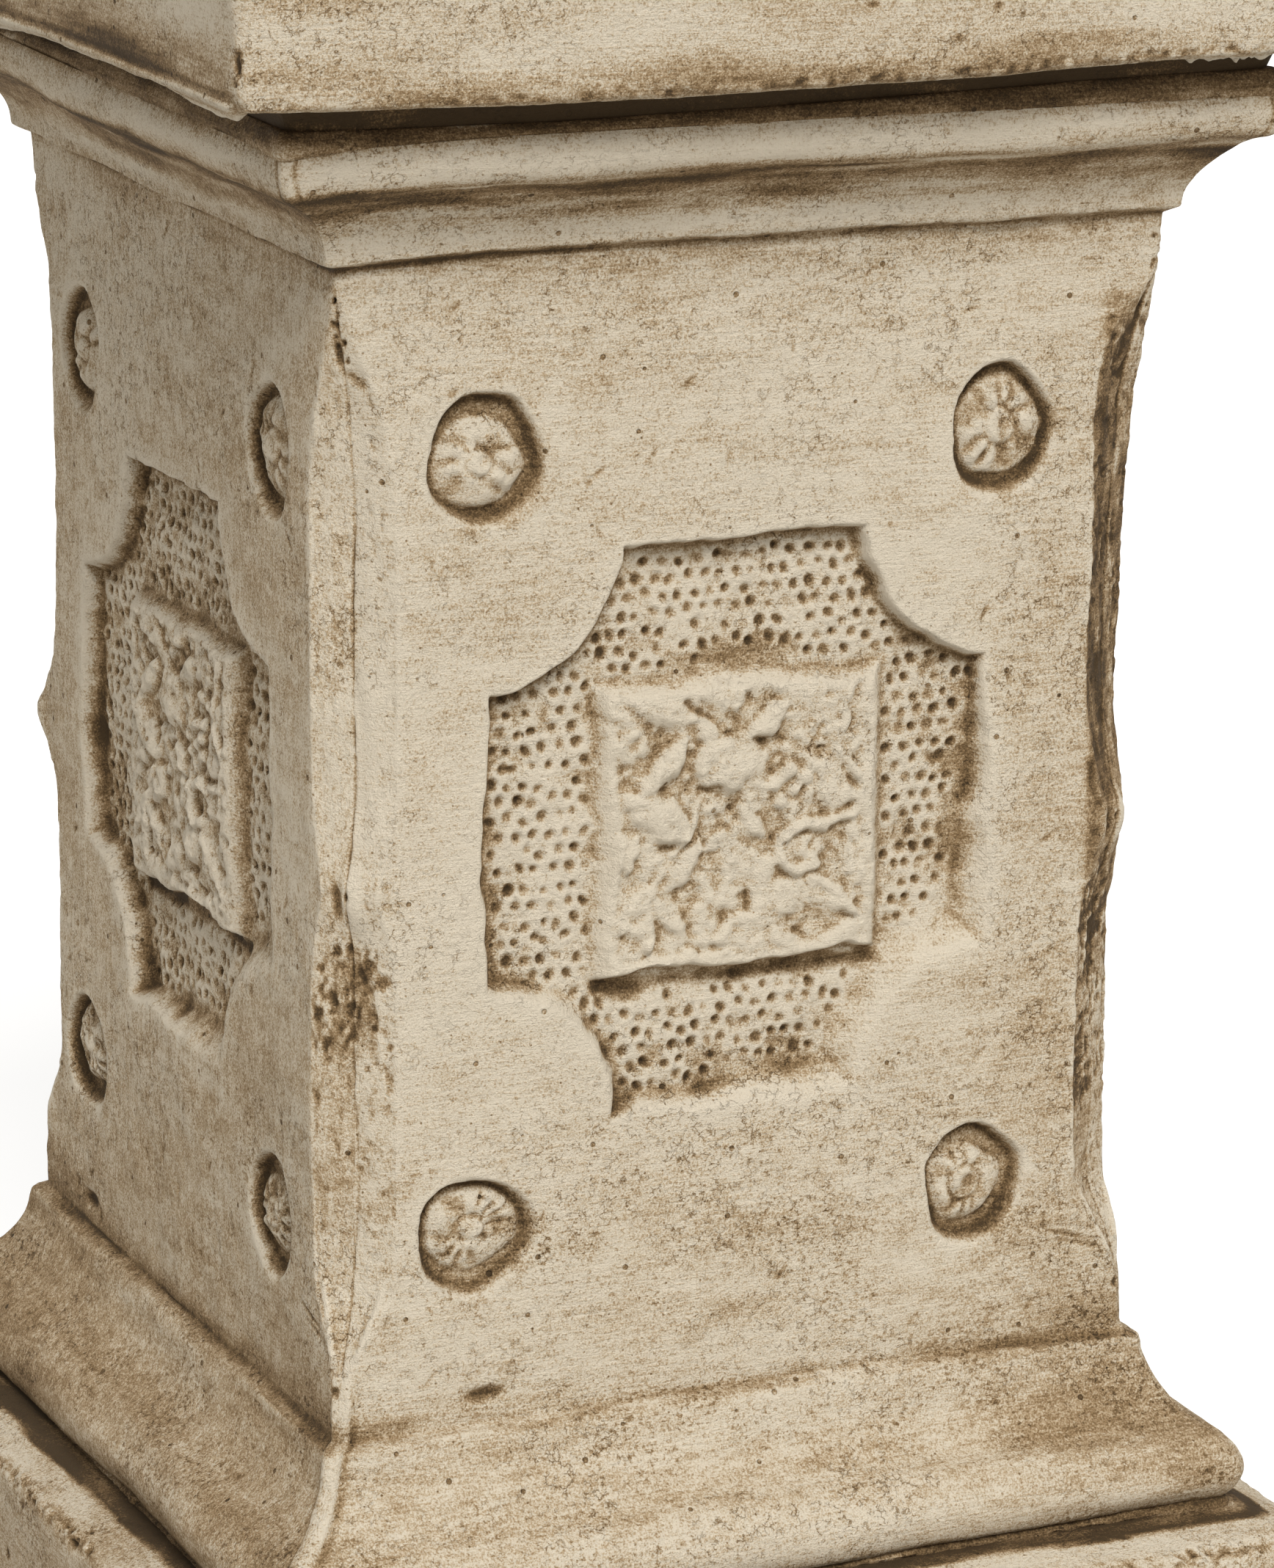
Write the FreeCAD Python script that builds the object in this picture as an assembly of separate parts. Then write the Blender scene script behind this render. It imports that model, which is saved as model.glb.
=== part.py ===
import FreeCAD, Part
import math
import os

# Square pedestal font in cast stone, millimetres, +Z up, origin at the bottom centre of the plinth.
# Four mitred, carved panels stand on a plinth block and carry a solid basin block with a lined bowl.
# The bowl drains through a brass waste and a copper pipe that runs down inside the hollow pedestal.

Vec = FreeCAD.Vector
UP = Vec(0, 0, 1)
ORIGIN = Vec(0, 0, 0)
QUARTER_TURNS = (0, 90, 180, 270)

# ---------------------------------------------------------------- driving dimensions: stonework
DIE_HALF = 160.0              # half the width of the square shaft of the pedestal
CAVITY_HALF = 118.0           # half the width of the hollow inside the pedestal
PLINTH_HALF = 218.0
PLINTH_ARRIS_Z = 84.0         # top of the plinth's upright face
PLINTH_TOP_Z = 90.0           # flat bed, inside the weathered margin
PLINTH_SEAT_HALF = 197.0
LOWER_BED = 3.5               # mortar under the panels
PANEL_BOTTOM_Z = PLINTH_TOP_Z + LOWER_BED
DIE_BOTTOM_Z = 150.0
DIE_HEIGHT = 428.5
DIE_TOP_Z = DIE_BOTTOM_Z + DIE_HEIGHT
PANEL_TOP_Z = DIE_BOTTOM_Z + 473.0
UPPER_BED = 6.0               # mortar under the basin
BASIN_SEAT_Z = PANEL_TOP_Z + UPPER_BED
BASIN_ARRIS_Z = DIE_BOTTOM_Z + 488.0
BASIN_TOP_Z = 900.0
BASIN_SEAT_HALF = 180.0
BASIN_BOTTOM_HALF = 213.0
BASIN_SPLAY = 3.0             # degrees that the basin's faces lean outward
ARRIS_RADIUS = 4.0

# carving on each panel, heights measured from the foot of the die
FIELD_WIDTH = 198.0
FIELD_HEIGHT = 210.0
FIELD_CENTRE = 220.0
FIELD_CORNER = 50.0           # radius of the quarter circles bitten out of the field's corners
FIELD_DEPTH = 9.0
TILE_FOOT = 108.0
TILE_FACE = 98.0
TILE_RISE = 7.0
ROSETTE_X = 98.0
ROSETTE_Z = (74.0, 356.0)
ROSETTE_HALF_WIDTH = 20.5
ROSETTE_HALF_HEIGHT = 23.5
ROSETTE_DEPTH = 6.0
ROSETTE_BOSS = 15.5
ROSETTE_RISE = 4.5

# stopped chamfers on the corners, as lowest and highest point of each cut
CHAMFER_LEG = 23.0
CHAMFERS = ((35.0, 190.0), (220.0, 400.0))
CHAMFER_RUN = 18.0

# ---------------------------------------------------------------- driving dimensions: fixings
FILLET_LEG = 34.0             # plaster fillets up the inner corners
FILLET_GAP = 14.0             # how far they stop short of the panels' beds
CRAMP_LENGTH = 50.0
CRAMP_WIDTH = 12.0
CRAMP_THICK = 5.0
CRAMP_LEG = 28.0
CRAMP_LEG_THICK = 8.0
CRAMP_RADIUS = 200.5          # distance of a cramp from the axis, across the mitre
DOWEL_RADIUS = 6.0
DOWEL_HOLE_RADIUS = 6.3
DOWEL_DEPTH = 38.0            # into each stone
DOWEL_OFFSET = 146.0
SHIM_SIZE = 30.0
SHIM_SPREAD = 75.0

# ---------------------------------------------------------------- driving dimensions: bowl and waste
BOWL_RIM_RADIUS = 168.0
BOWL_DEPTH = 135.0
BOWL_FLAT_RADIUS = 45.0
LINER_THICK = 1.6
LINER_GAP = 0.4
FLANGE_RADIUS = 185.0
BEAD_RADIUS = 2.5
REBATE_RADIUS = 186.0
WASTE_TAIL_RADIUS = 20.95     # one and a quarter inch pipe thread
WASTE_BORE_RADIUS = 17.0
WASTE_FLANGE_RADIUS = 38.0
WASTE_FLANGE_THICK = 4.5
WASTE_SEAT_RADIUS = 24.0
WASTE_SEAT_DEPTH = 3.6
WASTE_HOLE_RADIUS = 23.0
GASKET_THICK = 2.0
COUNTERBORE_RADIUS = 44.0
COUNTERBORE_TOP_Z = 700.0
NUT_FLATS = 56.0
NUT_THICK = 10.0
THREAD_GAP = 0.05
TAIL_BOTTOM_Z = 672.0
PIPE_RADIUS = 17.5            # 35 mm copper tube
PIPE_BORE_RADIUS = 16.0
PIPE_BOTTOM_Z = 2.0
SLEEVE_OUTER = 29.7
SLEEVE_INNER = 18.0
PLINTH_HOLE_RADIUS = 30.0
PLUG_CLEARANCE = 0.5
SEAL_THICK = 1.5
SEAL_GAP = 0.1
LUG_THICK = 4.0
LUG_HEIGHT = 10.0
RING_RADIUS = 13.0
RING_WIRE = 1.6
RING_HOLE = 2.4
RING_DROOP = 17.0             # degrees below level at which the ring comes to rest

SPHERE_RADIUS = (BOWL_RIM_RADIUS ** 2 + BOWL_DEPTH ** 2) / (2 * BOWL_DEPTH)
SPHERE_CENTRE_Z = BASIN_TOP_Z - BOWL_DEPTH + SPHERE_RADIUS


# ---------------------------------------------------------------- shape helpers
def box(half_x, half_y, low, high):
    """Upright box centred on the axis."""
    return Part.makeBox(2 * half_x, 2 * half_y, high - low, Vec(-half_x, -half_y, low))


def tube(outer, inner, low, high, centre=(0.0, 0.0)):
    """Round tube, or a rod when inner is 0."""
    base = Vec(centre[0], centre[1], low)
    solid = Part.makeCylinder(outer, high - low, base, UP)
    if inner > 0:
        solid = solid.cut(Part.makeCylinder(inner, high - low, base, UP))
    return solid


def square_wire(half, z):
    corners = [Vec(-half, -half, z), Vec(half, -half, z), Vec(half, half, z), Vec(-half, half, z)]
    return Part.makePolygon(corners + corners[:1])


def frustum(half_low, half_high, low, high):
    """Square block whose faces lean in or out."""
    return Part.makeLoft([square_wire(half_low, low), square_wire(half_high, high)], True, True)


def prism(points, vector):
    """Solid swept from a closed outline of straight edges."""
    return Part.Face(Part.makePolygon(points + points[:1])).extrude(vector)


def lathe(outline):
    """Solid of revolution about the Z axis from (radius, z) points; a middle point in a
    three-point tuple marks an arc."""
    edges = []
    for start, end in zip(outline, outline[1:] + outline[:1]):
        first, last = Vec(start[0][0], 0, start[0][1]), Vec(end[0][0], 0, end[0][1])
        if len(start) > 1:
            edges.append(Part.Arc(first, Vec(start[1][0], 0, start[1][1]), last).toShape())
        else:
            edges.append(Part.LineSegment(first, last).toShape())
    return Part.Face(Part.Wire(edges)).revolve(ORIGIN, UP, 360)


def hex_nut(flats, bore, low, high):
    radius = flats / math.sqrt(3)
    corners = []
    for step in range(6):
        angle = math.radians(60 * step)
        corners.append(Vec(radius * math.cos(angle), radius * math.sin(angle), low))
    return prism(corners, Vec(0, 0, high - low)).cut(tube(bore, 0, low, high))


def turned(shape, degrees):
    copy = shape.copy()
    copy.rotate(ORIGIN, UP, degrees)
    return copy


def around(shape, turns=QUARTER_TURNS):
    """The same solid at each of several turns about the axis, as one compound."""
    return Part.makeCompound([turned(shape, degrees) for degrees in turns])


def sphere_height(radius, sphere=SPHERE_RADIUS):
    """Height of a bowl-shaped sphere at a distance from the axis."""
    return SPHERE_CENTRE_Z - math.sqrt(sphere ** 2 - radius ** 2)


# ---------------------------------------------------------------- the panels of the pedestal
def panel_profile():
    """Section of a panel as edges in the plane X = 0; its face looks along -Y."""
    def at(offset, height):
        return Vec(0, -(DIE_HALF + offset), DIE_BOTTOM_Z + height)

    inner = -(DIE_HALF - CAVITY_HALF)
    foot = PANEL_BOTTOM_Z - DIE_BOTTOM_Z
    head = PANEL_TOP_Z - DIE_BOTTOM_Z
    runs = [
        (at(inner, foot), at(31.4, foot)),
        (at(31.4, foot), at(35.0, -46.5), at(31.0, -33.0)),         # torus of the base
        (at(31.0, -33.0), at(13.2, -19.0), at(6.0, 0.0)),           # cove above it
        (at(6.0, 0.0), at(5.0, 4.0)),
        (at(5.0, 4.0), at(0.0, 6.0)),
        (at(0.0, 6.0), at(0.0, DIE_HEIGHT)),                        # face of the die
        (at(0.0, DIE_HEIGHT), at(5.5, DIE_HEIGHT + 2.0)),
        (at(5.5, DIE_HEIGHT + 2.0), at(6.0, DIE_HEIGHT + 6.0)),     # bead
        (at(6.0, DIE_HEIGHT + 6.0), at(12.4, 449.5), at(27.5, 458.5)),  # cavetto of the neck
        (at(27.5, 458.5), at(30.5, 466.0), at(28.5, head)),         # roll under the basin
        (at(28.5, head), at(inner, head)),
        (at(inner, head), at(inner, foot)),
    ]
    edges = []
    for run in runs:
        curve = Part.Arc(*run) if len(run) == 3 else Part.LineSegment(*run)
        edges.append(curve.toShape())
    return edges


def field_outline():
    """Sunk field of a panel: a rectangle with its corners bitten out in quarter circles."""
    half_w, half_h, bite = FIELD_WIDTH / 2, FIELD_HEIGHT / 2, FIELD_CORNER
    middle = DIE_BOTTOM_Z + FIELD_CENTRE

    def at(x, z):
        return Vec(x, -DIE_HALF, middle + z)

    edges = []
    corners = ((1, 1), (1, -1), (-1, -1), (-1, 1))
    for index, (side, rise) in enumerate(corners):
        inset = bite * (1 - math.cos(math.pi / 4))
        along_top = at(side * (half_w - bite), rise * half_h)
        along_side = at(side * half_w, rise * (half_h - bite))
        centre_bulge = at(side * (half_w - bite + inset), rise * (half_h - bite + inset))
        # the bite's centre is the rectangle's corner, so the arc bulges into the field
        edges.append(Part.Arc(along_top, centre_bulge, along_side).toShape())
        next_side, next_rise = corners[(index + 1) % 4]
        if next_rise != rise:
            edges.append(Part.LineSegment(along_side, at(side * half_w, next_rise * (half_h - bite))).toShape())
        else:
            edges.append(Part.LineSegment(along_top, at(next_side * (half_w - bite), rise * half_h)).toShape())
    return Part.Wire(Part.__sortEdges__(edges))


def field_tile():
    """Raised tile with sloping sides in the middle of the field."""
    middle = DIE_BOTTOM_Z + FIELD_CENTRE
    floor = -(DIE_HALF - FIELD_DEPTH)

    def outline(size, y):
        half = size / 2
        corners = [Vec(-half, y, middle - half), Vec(half, y, middle - half),
                   Vec(half, y, middle + half), Vec(-half, y, middle + half)]
        return Part.makePolygon(corners + corners[:1])

    return Part.makeLoft([outline(TILE_FOOT, floor), outline(TILE_FACE, floor - TILE_RISE)], True, True)


def rosette_hollow(x, height):
    """Oval sinking with a low domed boss left standing in it."""
    centre = Vec(x, -DIE_HALF - 1.0, DIE_BOTTOM_Z + height)
    tall = Vec(centre.x, centre.y, centre.z + ROSETTE_HALF_HEIGHT)
    wide = Vec(centre.x + ROSETTE_HALF_WIDTH, centre.y, centre.z)
    oval = Part.Wire(Part.Ellipse(tall, wide, centre).toShape())
    hollow = Part.Face(oval).extrude(Vec(0, ROSETTE_DEPTH + 1.0, 0))
    dome_radius = (ROSETTE_BOSS ** 2 + ROSETTE_RISE ** 2) / (2 * ROSETTE_RISE)
    floor = -(DIE_HALF - ROSETTE_DEPTH)
    ball = Part.makeSphere(dome_radius, Vec(x, floor + dome_radius - ROSETTE_RISE, centre.z))
    return hollow.cut(ball)


def chamfer_cutter(low, high):
    """Wedge that cuts one stopped chamfer on the corner at +X, turned later to each corner."""
    corner = DIE_HALF * math.sqrt(2)
    depth = CHAMFER_LEG / math.sqrt(2)
    spare = 8.0
    slope = CHAMFER_RUN / depth
    low, high = DIE_BOTTOM_Z + low, DIE_BOTTOM_Z + high
    half = CHAMFER_LEG * 1.6
    points = [Vec(corner + spare, -half, low - spare * slope), Vec(corner - depth, -half, low + CHAMFER_RUN),
              Vec(corner - depth, -half, high - CHAMFER_RUN), Vec(corner + spare, -half, high + spare * slope)]
    return prism(points, Vec(0, 2 * half, 0))


def cramp(seat_z, direction):
    """Flat iron cramp across one mitre, flush with a bed, its two legs turned into the stone."""
    body_low = seat_z - CRAMP_THICK if direction < 0 else seat_z
    leg_low = seat_z - CRAMP_LEG if direction < 0 else seat_z
    bar = Part.makeBox(CRAMP_WIDTH, CRAMP_LENGTH, CRAMP_THICK,
                       Vec(CRAMP_RADIUS - CRAMP_WIDTH / 2, -CRAMP_LENGTH / 2, body_low))
    solid = bar
    for end in (-1, 1):
        leg_y = end * (CRAMP_LENGTH - CRAMP_LEG_THICK) / 2 - CRAMP_LEG_THICK / 2
        leg = Part.makeBox(CRAMP_WIDTH, CRAMP_LEG_THICK, CRAMP_LEG,
                           Vec(CRAMP_RADIUS - CRAMP_WIDTH / 2, leg_y, leg_low))
        solid = solid.fuse(leg)
    return turned(solid.removeSplitter(), 45)


def front_panel():
    half_length = DIE_HALF * 1.6
    section = Part.Face(Part.Wire(panel_profile()))
    section.translate(Vec(-half_length, 0, 0))
    bar = section.extrude(Vec(2 * half_length, 0, 0))
    wedge = prism([Vec(0, 0, 0), Vec(-300, -300, 0), Vec(300, -300, 0)], Vec(0, 0, BASIN_TOP_Z))
    panel = bar.common(wedge)
    panel = panel.cut(Part.Face(field_outline()).extrude(Vec(0, FIELD_DEPTH, 0)))
    panel = panel.fuse(field_tile())
    for x in (-ROSETTE_X, ROSETTE_X):
        for height in ROSETTE_Z:
            panel = panel.cut(rosette_hollow(x, height))
    for low, high in CHAMFERS:
        cutter = chamfer_cutter(low, high)
        panel = panel.cut(turned(cutter, -45)).cut(turned(cutter, -135))
    for seat, direction in ((PANEL_TOP_Z, -1), (PANEL_BOTTOM_Z, 1)):
        iron = cramp(seat, direction)
        panel = panel.cut(turned(iron, -90)).cut(turned(iron, -180))
    upper_hole = tube(DOWEL_HOLE_RADIUS, 0, PANEL_TOP_Z - DOWEL_DEPTH, PANEL_TOP_Z, (0, -DOWEL_OFFSET))
    lower_hole = tube(DOWEL_HOLE_RADIUS, 0, PANEL_BOTTOM_Z, PANEL_BOTTOM_Z + DOWEL_DEPTH, (0, -DOWEL_OFFSET))
    return panel.cut(upper_hole).cut(lower_hole).removeSplitter()


# ---------------------------------------------------------------- plinth, beds and fixings
def plinth_block():
    upright = box(PLINTH_HALF, PLINTH_HALF, 0, PLINTH_ARRIS_Z)
    corners = [edge for edge in upright.Edges if abs(edge.tangentAt(edge.FirstParameter).z) > 0.9]
    upright = upright.makeFillet(ARRIS_RADIUS, corners)
    top = frustum(PLINTH_HALF - ARRIS_RADIUS, PLINTH_SEAT_HALF, PLINTH_ARRIS_Z, PLINTH_TOP_Z)
    block = upright.fuse(top)
    block = block.cut(tube(PLINTH_HOLE_RADIUS, 0, 0, PLINTH_TOP_Z))
    for turn in QUARTER_TURNS:
        hole = tube(DOWEL_HOLE_RADIUS, 0, PLINTH_TOP_Z - DOWEL_DEPTH, PLINTH_TOP_Z, (0, -DOWEL_OFFSET))
        block = block.cut(turned(hole, turn))
    return block


def shims(low, high):
    """Eight lead pads that set the thickness of a mortar bed."""
    pads = []
    for x in (-SHIM_SPREAD, SHIM_SPREAD):
        corner = Vec(x - SHIM_SIZE / 2, -DOWEL_OFFSET - SHIM_SIZE / 2, low)
        pads.append(Part.makeBox(SHIM_SIZE, SHIM_SIZE, high - low, corner))
    return around(Part.makeCompound(pads))


def mortar_bed(outer_half, low, high):
    """Square ring of mortar with room for the shims and the dowels."""
    ring = box(outer_half, outer_half, low, high).cut(box(CAVITY_HALF, CAVITY_HALF, low, high))
    for pad in shims(low, high).Solids:
        ring = ring.cut(pad)
    for turn in QUARTER_TURNS:
        hole = tube(DOWEL_HOLE_RADIUS, 0, low, high, (0, -DOWEL_OFFSET))
        ring = ring.cut(turned(hole, turn))
    return ring


def dowels(bed_low, bed_high):
    end_gap = 1.0
    rod = tube(DOWEL_RADIUS, 0, bed_low - DOWEL_DEPTH + end_gap, bed_high + DOWEL_DEPTH - end_gap,
               (0, -DOWEL_OFFSET))
    return around(rod)


def corner_fillets():
    low, high = PANEL_BOTTOM_Z + FILLET_GAP, PANEL_TOP_Z - FILLET_GAP
    c, leg = CAVITY_HALF, FILLET_LEG
    wedge = prism([Vec(c, c, low), Vec(c - leg, c, low), Vec(c, c - leg, low)], Vec(0, 0, high - low))
    return around(wedge)


# ---------------------------------------------------------------- basin, bowl and waste
def bowl_outline(gap):
    """Bowl-shaped cavity as a lathe outline, a gap wider than the liner's inner face."""
    sphere = SPHERE_RADIUS + gap
    flat_z = sphere_height(BOWL_FLAT_RADIUS, sphere)
    rim = math.sqrt(sphere ** 2 - (SPHERE_CENTRE_Z - BASIN_TOP_Z) ** 2)
    angle_low = math.asin(BOWL_FLAT_RADIUS / sphere)
    angle_high = math.asin(rim / sphere)
    middle = (angle_low + angle_high) / 2
    halfway = (sphere * math.sin(middle), SPHERE_CENTRE_Z - sphere * math.cos(middle))
    return flat_z, rim, halfway


def basin_block():
    splay = math.tan(math.radians(BASIN_SPLAY)) * (BASIN_TOP_Z - BASIN_ARRIS_Z)
    block = frustum(BASIN_BOTTOM_HALF, BASIN_BOTTOM_HALF + splay, BASIN_ARRIS_Z, BASIN_TOP_Z)
    block = block.makeFillet(ARRIS_RADIUS, block.Edges)
    seat = frustum(BASIN_SEAT_HALF, BASIN_SEAT_HALF + 4.0, BASIN_SEAT_Z, BASIN_ARRIS_Z)
    block = block.fuse(seat)
    flat_z, rim, halfway = bowl_outline(LINER_THICK + LINER_GAP)
    cavity = lathe([((0, flat_z),), ((BOWL_FLAT_RADIUS, flat_z), halfway),
                    ((rim, BASIN_TOP_Z),), ((0, BASIN_TOP_Z),)])
    rebate_z = BASIN_TOP_Z - LINER_THICK
    block = block.cut(cavity).cut(tube(REBATE_RADIUS, 0, rebate_z, BASIN_TOP_Z))
    block = block.cut(tube(COUNTERBORE_RADIUS, 0, BASIN_SEAT_Z, COUNTERBORE_TOP_Z))
    block = block.cut(tube(WASTE_HOLE_RADIUS, 0, COUNTERBORE_TOP_Z, flat_z))
    for turn in QUARTER_TURNS:
        hole = tube(DOWEL_HOLE_RADIUS, 0, BASIN_SEAT_Z, BASIN_SEAT_Z + DOWEL_DEPTH, (0, -DOWEL_OFFSET))
        block = block.cut(turned(hole, turn))
    return block


def bowl_liner():
    """Spun bowl with a flat foot, a flange that lies in the basin's rebate and a rolled edge."""
    in_flat, in_rim, in_half = bowl_outline(0.0)
    out_flat, _, out_half = bowl_outline(LINER_THICK)
    flange_z = BASIN_TOP_Z - LINER_THICK
    out_rim = math.sqrt((SPHERE_RADIUS + LINER_THICK) ** 2 - (SPHERE_CENTRE_Z - flange_z) ** 2)
    shell = lathe([((WASTE_HOLE_RADIUS, in_flat),), ((BOWL_FLAT_RADIUS, in_flat), in_half),
                   ((in_rim, BASIN_TOP_Z),), ((FLANGE_RADIUS, BASIN_TOP_Z),), ((FLANGE_RADIUS, flange_z),),
                   ((out_rim, flange_z), out_half),
                   ((BOWL_FLAT_RADIUS, out_flat),), ((WASTE_HOLE_RADIUS, out_flat),)])
    bead = Part.makeTorus(FLANGE_RADIUS - BEAD_RADIUS, BEAD_RADIUS, Vec(0, 0, flange_z + BEAD_RADIUS), UP)
    return shell.fuse(bead)


LINER_FLAT_Z = sphere_height(BOWL_FLAT_RADIUS)
GASKET_TOP_Z = LINER_FLAT_Z + GASKET_THICK
WASTE_TOP_Z = GASKET_TOP_Z + WASTE_FLANGE_THICK
SEAT_Z = WASTE_TOP_Z - WASTE_SEAT_DEPTH
PLUG_TOP_Z = WASTE_TOP_Z
RING_PIVOT_Z = PLUG_TOP_Z + LUG_HEIGHT


def waste_body():
    """Flanged brass waste: a shallow seat for the plug, a throat with cross bars and a long tail."""
    outer = lathe([((WASTE_BORE_RADIUS, TAIL_BOTTOM_Z),), ((WASTE_TAIL_RADIUS, TAIL_BOTTOM_Z),),
                   ((WASTE_TAIL_RADIUS, GASKET_TOP_Z),), ((WASTE_FLANGE_RADIUS - 1.0, GASKET_TOP_Z),),
                   ((WASTE_FLANGE_RADIUS, GASKET_TOP_Z + 1.0),),
                   ((WASTE_FLANGE_RADIUS - 6.0, WASTE_TOP_Z),), ((WASTE_SEAT_RADIUS, WASTE_TOP_Z),),
                   ((WASTE_SEAT_RADIUS, SEAT_Z),), ((WASTE_BORE_RADIUS, SEAT_Z),)])
    bar_top = SEAT_Z - 16.0
    for turn in (0, 90):
        bar = box(WASTE_BORE_RADIUS + 1.0, 1.6, bar_top - 5.0, bar_top)
        outer = outer.fuse(turned(bar, turn))
    return outer.removeSplitter()


def drain_plug():
    """Turned plug with a flat cap in the seat, a tapered spigot in the throat and a pierced lug."""
    cap_low = SEAT_Z + SEAL_GAP + SEAL_THICK
    cap = WASTE_SEAT_RADIUS - PLUG_CLEARANCE
    spigot = WASTE_BORE_RADIUS - PLUG_CLEARANCE
    turned_part = lathe([((0, cap_low - 10.0),), ((spigot - 2.5, cap_low - 10.0),), ((spigot, cap_low - 4.0),),
                         ((spigot, cap_low),), ((cap, cap_low),), ((cap, PLUG_TOP_Z - 0.8),),
                         ((cap - 0.8, PLUG_TOP_Z),), ((0, PLUG_TOP_Z),)])
    post = Part.makeBox(LUG_THICK, 9.0, LUG_HEIGHT + 0.5, Vec(-LUG_THICK / 2, -4.5, PLUG_TOP_Z - 0.5))
    crown = Part.makeCylinder(4.5, LUG_THICK, Vec(-LUG_THICK / 2, 0, RING_PIVOT_Z), Vec(1, 0, 0))
    eye = Part.makeCylinder(RING_HOLE, LUG_THICK + 2, Vec(-LUG_THICK / 2 - 1, 0, RING_PIVOT_Z), Vec(1, 0, 0))
    return turned_part.fuse(post).fuse(crown).cut(eye).removeSplitter()


def pull_ring():
    """Round wire ring threaded through the lug, lying back towards -Y."""
    droop = math.radians(RING_DROOP)
    centre = Vec(0, -RING_RADIUS * math.cos(droop), RING_PIVOT_Z - RING_RADIUS * math.sin(droop))
    normal = Vec(0, -math.sin(droop), math.cos(droop))
    return Part.makeTorus(RING_RADIUS, RING_WIRE, centre, normal)


# ---------------------------------------------------------------- write one file per sub-part
panel = front_panel()
nut_top = COUNTERBORE_TOP_Z - GASKET_THICK
coupling_top = TAIL_BOTTOM_Z + 12.0
coupling_low = TAIL_BOTTOM_Z - 8.0
coupling = hex_nut(50.0, WASTE_TAIL_RADIUS + THREAD_GAP, TAIL_BOTTOM_Z - 3.0, coupling_top)
coupling = coupling.fuse(hex_nut(50.0, PIPE_RADIUS + 0.3, coupling_low, TAIL_BOTTOM_Z - 3.0))
pipe = tube(PIPE_RADIUS, PIPE_BORE_RADIUS, PIPE_BOTTOM_Z, TAIL_BOTTOM_Z)
pipe = pipe.fuse(tube(WASTE_TAIL_RADIUS - 0.2, PIPE_BORE_RADIUS, TAIL_BOTTOM_Z - 3.0, TAIL_BOTTOM_Z))
seal_outer = WASTE_SEAT_RADIUS - PLUG_CLEARANCE - 0.5
seal_inner = WASTE_BORE_RADIUS - PLUG_CLEARANCE

NODES = {
    "plinth_block": plinth_block(),
    "lower_mortar_bed": mortar_bed(186.0, PLINTH_TOP_Z, PANEL_BOTTOM_Z),
    "lower_lead_shims": shims(PLINTH_TOP_Z, PANEL_BOTTOM_Z),
    "lower_dowels": dowels(PLINTH_TOP_Z, PANEL_BOTTOM_Z),
    "front_panel": panel,
    "right_panel": turned(panel, 90),
    "back_panel": turned(panel, 180),
    "left_panel": turned(panel, 270),
    "corner_fillets": corner_fillets(),
    "lower_corner_cramps": around(cramp(PANEL_BOTTOM_Z, 1)),
    "upper_corner_cramps": around(cramp(PANEL_TOP_Z, -1)),
    "upper_mortar_bed": mortar_bed(BASIN_SEAT_HALF - 2.0, PANEL_TOP_Z, BASIN_SEAT_Z),
    "upper_lead_shims": shims(PANEL_TOP_Z, BASIN_SEAT_Z),
    "upper_dowels": dowels(PANEL_TOP_Z, BASIN_SEAT_Z),
    "basin_block": basin_block(),
    "bowl_liner": bowl_liner(),
    "waste_gasket": tube(WASTE_FLANGE_RADIUS - 1.0, WASTE_HOLE_RADIUS, LINER_FLAT_Z, GASKET_TOP_Z),
    "waste_body": waste_body(),
    "backing_washer": tube(34.0, WASTE_TAIL_RADIUS + 0.2, nut_top, COUNTERBORE_TOP_Z),
    "back_nut": hex_nut(NUT_FLATS, WASTE_TAIL_RADIUS + THREAD_GAP, nut_top - NUT_THICK, nut_top),
    "coupling_nut": coupling,
    "drain_pipe": pipe,
    "pipe_sleeve": tube(SLEEVE_OUTER, SLEEVE_INNER, 6.0, PLINTH_TOP_Z),
    "plug_seal": tube(seal_outer, seal_inner, SEAT_Z + SEAL_GAP, SEAT_Z + SEAL_GAP + SEAL_THICK),
    "drain_plug": drain_plug(),
    "pull_ring": pull_ring(),
}

os.makedirs("parts", exist_ok=True)
for name, shape in NODES.items():
    shape.exportStep("parts/" + name + ".step")
    print(name, "valid" if shape.isValid() else "INVALID", len(shape.Solids), "solids",
          round(shape.Volume / 1000.0, 1), "cm3")
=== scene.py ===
import bpy
import math
import numpy as np
from mathutils import Matrix


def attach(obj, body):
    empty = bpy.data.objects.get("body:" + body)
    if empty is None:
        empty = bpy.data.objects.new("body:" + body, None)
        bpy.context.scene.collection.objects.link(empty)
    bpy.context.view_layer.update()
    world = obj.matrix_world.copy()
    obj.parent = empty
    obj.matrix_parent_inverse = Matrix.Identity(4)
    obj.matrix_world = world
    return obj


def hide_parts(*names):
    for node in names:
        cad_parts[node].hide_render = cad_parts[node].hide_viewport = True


# Cast-stone font: carved pedestal panels, plinth, basin and beds as detailed closed meshes over the
# CAD frame. The relief is worked out in millimetres on maps that wrap round the object, one map for
# each course, so that neighbouring panels agree at their mitres.

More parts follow.
